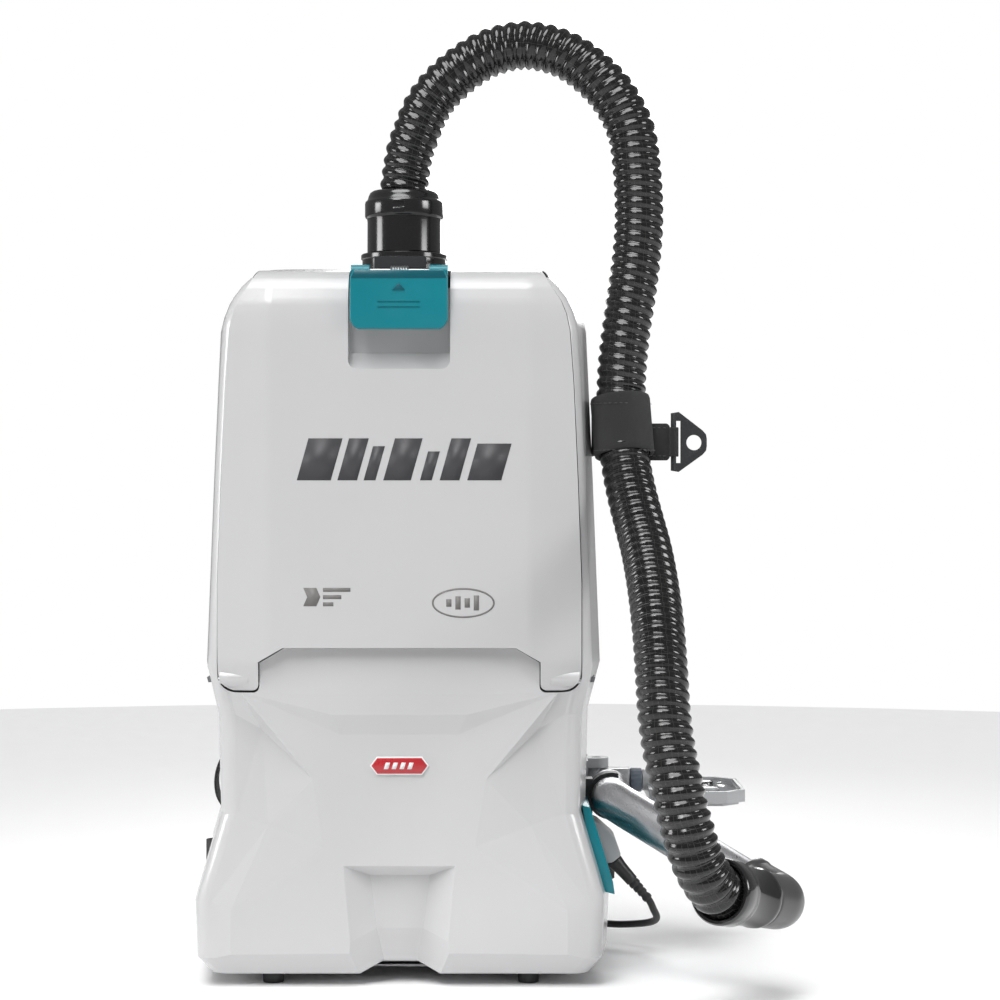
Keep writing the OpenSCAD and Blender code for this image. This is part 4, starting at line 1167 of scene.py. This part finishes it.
def make_shoulder_straps():
    path = smooth_path([(0, y, z) for y, z in STRAP_ROUTE], 3.0)
    n = len(path)
    outs = [Vector((0, tangent(path, i).z, -tangent(path, i).y)) for i in range(n)]
    for side, word in ((-1, "left"), (1, "right")):

        def centre(s):
            return side * (58 + 34 * s)

        def half_width(s):
            return 31.6 - 5 * s

        def half_thick(s):
            return 5.8 * min(1, 0.6 + 6 * s, 0.5 + 6 * (1 - s))

        pad = crowned_strip("padded_strap_" + word, path, half_width, half_thick, centre, (-0.62, 0.62))
        finish_piece(pad, "root", "harness_fabric", "shoulder_strap_" + word)
        for edge in (-1, 1):
            line = [Vector((centre(i / (n - 1)) + edge * (0.2 + half_width(i / (n - 1))), path[i].y,
                            path[i].z))
                    for i in range(0, n, 4)]
            piping = swept_tube("strap_piping_%s_%d" % (word, edge), smooth_path(line, 3), lambda i, a: 1.15,
                                10)
            finish_piece(piping, "root", "harness_fabric", material=WEBBING)
        rows = [path[i] + outs[i] * 6.6 + Vector((centre(i / (n - 1)), 0, 0)) for i in range(8, n)]
        band = ribbon("strap_band_" + word, rows, 25, 1.4, X_AXIS)
        finish_piece(band, "root", "webbing")


def make_back_pad():
    outline = []
    for cx, cz, start in ((74, 476, 0), (-74, 476, 90), (-74, 194, 180), (74, 194, 270)):
        outline += corner_points(cx, cz, 18, start, 90, 8)
    rings = []
    for shrink, y in ((3, 90.6), (0.4, 91.6), (0, 94), (0, 97), (0.8, 99.4), (3, 101.6), (7, 103),
                      (14, 103.6)):
        rings.append([(x * (1 - shrink / 92), y, 335 + (z - 335) * (1 - shrink / 159)) for x, z in outline])
    shell = loft("back_pad_blank", rings)
    modify(shell, "REMESH", mode="VOXEL", voxel_size=0.0045)
    apply_modifiers(shell)
    for vert in shell.data.vertices:
        x, y, z = (c / MM for c in vert.co)
        if y > 99:
            dent = 4.6 * math.exp(-(x / 4) ** 2)
            for c in (243, 304, 366, 427):
                dent += 4.6 * math.exp(-((z - c) / 3.6) ** 2)
            vert.co.y = (y - min(5.6, dent)) * MM
    modify(shell, "SMOOTH", factor=0.5, iterations=3)
    modify(shell, "SUBSURF", levels=1)
    apply_modifiers(shell)
    shell.data.shade_smooth()
    shell.name = "quilted_back_pad"
    finish_piece(shell, "root", "harness_fabric", "back_pad", material=MESH_FABRIC)
    ring = [Vector((x, 92.4, z)) for x, z in outline]
    piping = swept_tube("back_pad_piping", smooth_path(ring + ring[:1], 4), lambda i, a: 1.6, 10)
    finish_piece(piping, "root", "harness_fabric", material=WEBBING)


def make_hip_pads():
    for side, word in ((-1, "left"), (1, "right")):
        path = smooth_path([(side * x, y, 0) for x, y in HIP_ROUTE], 3)
        rows = []
        n = len(path)
        for i, p in enumerate(path):
            t = tangent(path, i)
            out = Vector((-t.y, t.x, 0)) * side
            s = i / (n - 1)
            end = min(1, 0.35 + 8 * s, 0.3 + 7 * (1 - s))
            ring = []
            for a in angles(40):
                u, v = pillow(a)
                dent = 0.35 * math.exp(-((u - 0.7) / 0.06) ** 2) + 0.35 * math.exp(-((u + 0.7) / 0.06) ** 2)
                dent += 0.3 * math.exp(-(((s * 4) % 1 - 0.5) / 0.05) ** 2)
                h = 5.4 * end * (0.72 + 0.28 * (1 - u * u)) * (1 - min(0.5, dent))
                ring.append(tuple(p + out * h * v + Vector((0, 0, 66 + 31.5 * u * (0.9 + 0.1 * end)))))
            rows.append(ring)
        pad = loft("hip_pad_" + word, rows)
        finish_piece(pad, "root", "harness_fabric", *(["hip_pads"] if side < 0 else []))


def make_webbing_and_belt():
    right = [(92, 119, 245), (104, 117, 215), (122, 112, 188), (140, 106, 166), (146, 103, 161)]
    left = [(92, 119, 245), (106, 117, 220), (128, 112, 192), (150, 106, 168), (160, 103, 148),
            (160, 102, 128),
            (150, 100, 110), (148, 101, 96)]
    for side, route, word in ((1, right, "right"), (-1, left, "left")):
        path = smooth_path([(side * x, y, z) for x, y, z in route], 3)
        band = ribbon("lower_strap_" + word, path, 25, 1.6, (0, 1, 0))
        finish_piece(band, "root", "webbing", *(["harness_webbing"] if side > 0 else []))
    for side in (-1, 1):
        loop = [(side * x, y, 66) for x, y in ((163, 134.5), (170, 142), (174.4, 149.5), (165, 158),
                                               (150, 170.5),
                                               (120, 174), (90, 176), (58, 177))]
        path = smooth_path(loop, 3)
        belt = ribbon("hip_belt_%s" % ("left" if side < 0 else "right"), path, 34, 1.8, (0, 0, 1))
        finish_piece(belt, "root", "webbing")
    female = soft_box("buckle_socket", (-60, 170, 44), (-20.4, 184, 88), 4)
    cut(female, box("buckle_window", (-50, 160, 58), (-30, 173, 74)))
    finish_piece(female, "root", "dark_plastic", "belt_buckle", soft=(1.4, 3, 40), crisp=35)
    male = soft_box("buckle_tongue", (20, 170.5, 46), (60, 183.5, 86), 4)
    bevel(male, 1.4, 3, 40)
    cut(male, slab("buckle_bar", rect(46, 54, 50, 82), 160, 190))
    finish_piece(male, "root", "dark_plastic", crisp=35)
    for k, z in enumerate((54, 66, 78)):
        prong = box("buckle_prong_%d" % k, (-20.5, 174.5, z - 3), (20.2, 179.5, z + 3))
        finish_piece(prong, "root", "dark_plastic", soft=(1, 2, 40))


def make_handle():
    path = smooth_path([(-55, 84, 538), (-55, 96, 538), (-51, 106.4, 538), (-38, 108.4, 538), (0, 109, 538),
                        (38, 108.4, 538),
                        (51, 106.4, 538), (55, 96, 538), (55, 80, 538)], 3)
    rings = []
    for i, p in enumerate(path):
        t = tangent(path, i)
        out = Vector((t.y, -t.x, 0))
        ring = []
        wave = 1 - 0.03 * (1 + math.cos(i * 1.3)) * (1 if abs(p.x) < 34 else 0)
        for a in angles(32):
            u, v = pillow(a, 0.6, 0.6)
            ring.append(tuple(p + Vector((0, 0, u * 11.6 * wave)) + out * v * 3.3 * wave))
        rings.append(ring)
    grip = loft("grip_handle", rings)
    for side in (-1, 1):
        base = soft_box("handle_foot", (side * 55 - 7, 60, 527), (side * 55 + 7, 92, 549), 2)
        combine(grip, base, "UNION")
    finish_piece(grip, "root", "dark_plastic", "carry_handle", crisp=35)


def make_dust_bag():
    """A half filled fleece bag: crowned faces, soft creases and folded side gussets."""
    bag = soft_box("bag_blank", (-108, -45, 279), (108, 65, 516), 24, 10)
    modify(bag, "REMESH", mode="VOXEL", voxel_size=0.006)
    apply_modifiers(bag)
    for vert in bag.data.vertices:
        x, y, z = (c / MM for c in vert.co)
        u, v, w = x / 108, (y - 10) / 55, (z - 397) / 118
        crease = 1.2 * math.sin(0.09 * x + 1.7 * math.sin(0.021 * z))
        crease += 1.0 * math.sin(0.055 * z + 2.1 * math.sin(0.03 * x))
        slack = 9 * (abs(w) ** 3)
        gusset = 5 * math.exp(-(v / 0.16) ** 2) if abs(u) > 0.9 else 0
        x -= math.copysign(slack * 0.7 + gusset, x) * min(1, abs(u) * 1.4)
        y = y - math.copysign(slack, y - 10) * min(1, abs(v) * 1.3) + crease * abs(v)
        vert.co = (x * MM, y * MM, z * MM)
    modify(bag, "SMOOTH", iterations=4)
    modify(bag, "SUBSURF", levels=1)
    apply_modifiers(bag)
    bag.data.shade_smooth()
    bag.name = "fleece_dust_bag"
    finish_piece(bag, "root", "bag_cloth", "dust_bag")


make_dust_bag()
make_shoulder_straps()
make_back_pad()
make_hip_pads()
make_webbing_and_belt()
make_handle()


def soften_cad_nodes():
    """Small rounded edges on the CAD pieces that still show."""
    for node, width in (("back_plate", 1.2), ("arm_bracket", 1.0), ("pipe_clip", 0.8), ("lid_catch", 0.5),
                        ("bag_card", 0.4), ("bag_bracket", 0.5), ("filter_frame", 0.6), ("case_screws", 0.3),
                        ("battery_bay", 0.6), ("terminal_block", 0.6), ("control_board", 0.2)):
        modify(frame["nodes"][node], "BEVEL", width=width * MM, segments=2, limit_method="ANGLE",
               angle_limit=math.radians(40))


soften_cad_nodes()


# ---------------------------------------------------------------- studio
def area_light(name, place, aim, energy, size, spread):
    lamp = bpy.data.objects.new(name, bpy.data.lights.new(name, "AREA"))
    lamp.data.energy = energy
    lamp.data.size = size
    lamp.data.spread = math.radians(spread)
    lamp.location = place
    lamp.rotation_euler = (Vector(aim) - Vector(place)).to_track_quat("-Z", "Y").to_euler()
    bpy.context.collection.objects.link(lamp)


def make_studio():
    ring = [(FLOOR_RADIUS * math.cos(a), FLOOR_RADIUS * math.sin(a), 0) for a in angles(64)]
    floor = mesh_piece("studio_floor", ring, [list(range(64))])
    floor.data.materials.append(plastic("studio_paper", (0.96, 0.96, 0.965), rough=0.7, spread=0.004,
                                        grain=0.02))
    area_light("key_light", (-0.7, -1.7, 1.9), (0, 0, 0.32), 1.7, 0.8, 50)
    area_light("side_light", (2.2, -0.9, 1.0), (0.1, 0, 0.3), 2.2, 0.8, 60)
    area_light("left_light", (-1.9, -0.3, 0.7), (0, 0, 0.35), 1.5, 0.7, 60)
    area_light("rear_light", (0.3, 2.0, 1.2), (0, 0, 0.35), 2.2, 1.0, 60)
    sun = bpy.data.objects.new("soft_sky", bpy.data.lights.new("soft_sky", "SUN"))
    sun.data.energy = 2.3
    sun.data.angle = math.radians(40)
    sun.rotation_euler = (math.radians(20), math.radians(-8), 0)
    bpy.context.collection.objects.link(sun)
    world = bpy.data.worlds.new("studio")
    bpy.context.scene.world = world
    world.use_nodes = True
    nodes, links = world.node_tree.nodes, world.node_tree.links
    nodes["Background"].inputs[0].default_value = (1, 1, 1, 1)
    ray = nodes.new("ShaderNodeLightPath")
    level = nodes.new("ShaderNodeMapRange")
    level.inputs["To Min"].default_value = 0.2
    level.inputs["To Max"].default_value = 1.0
    links.new(ray.outputs["Is Camera Ray"], level.inputs["Value"])
    links.new(level.outputs["Result"], nodes["Background"].inputs[1])


make_studio()
bpy.context.scene.view_settings.view_transform = "Standard"
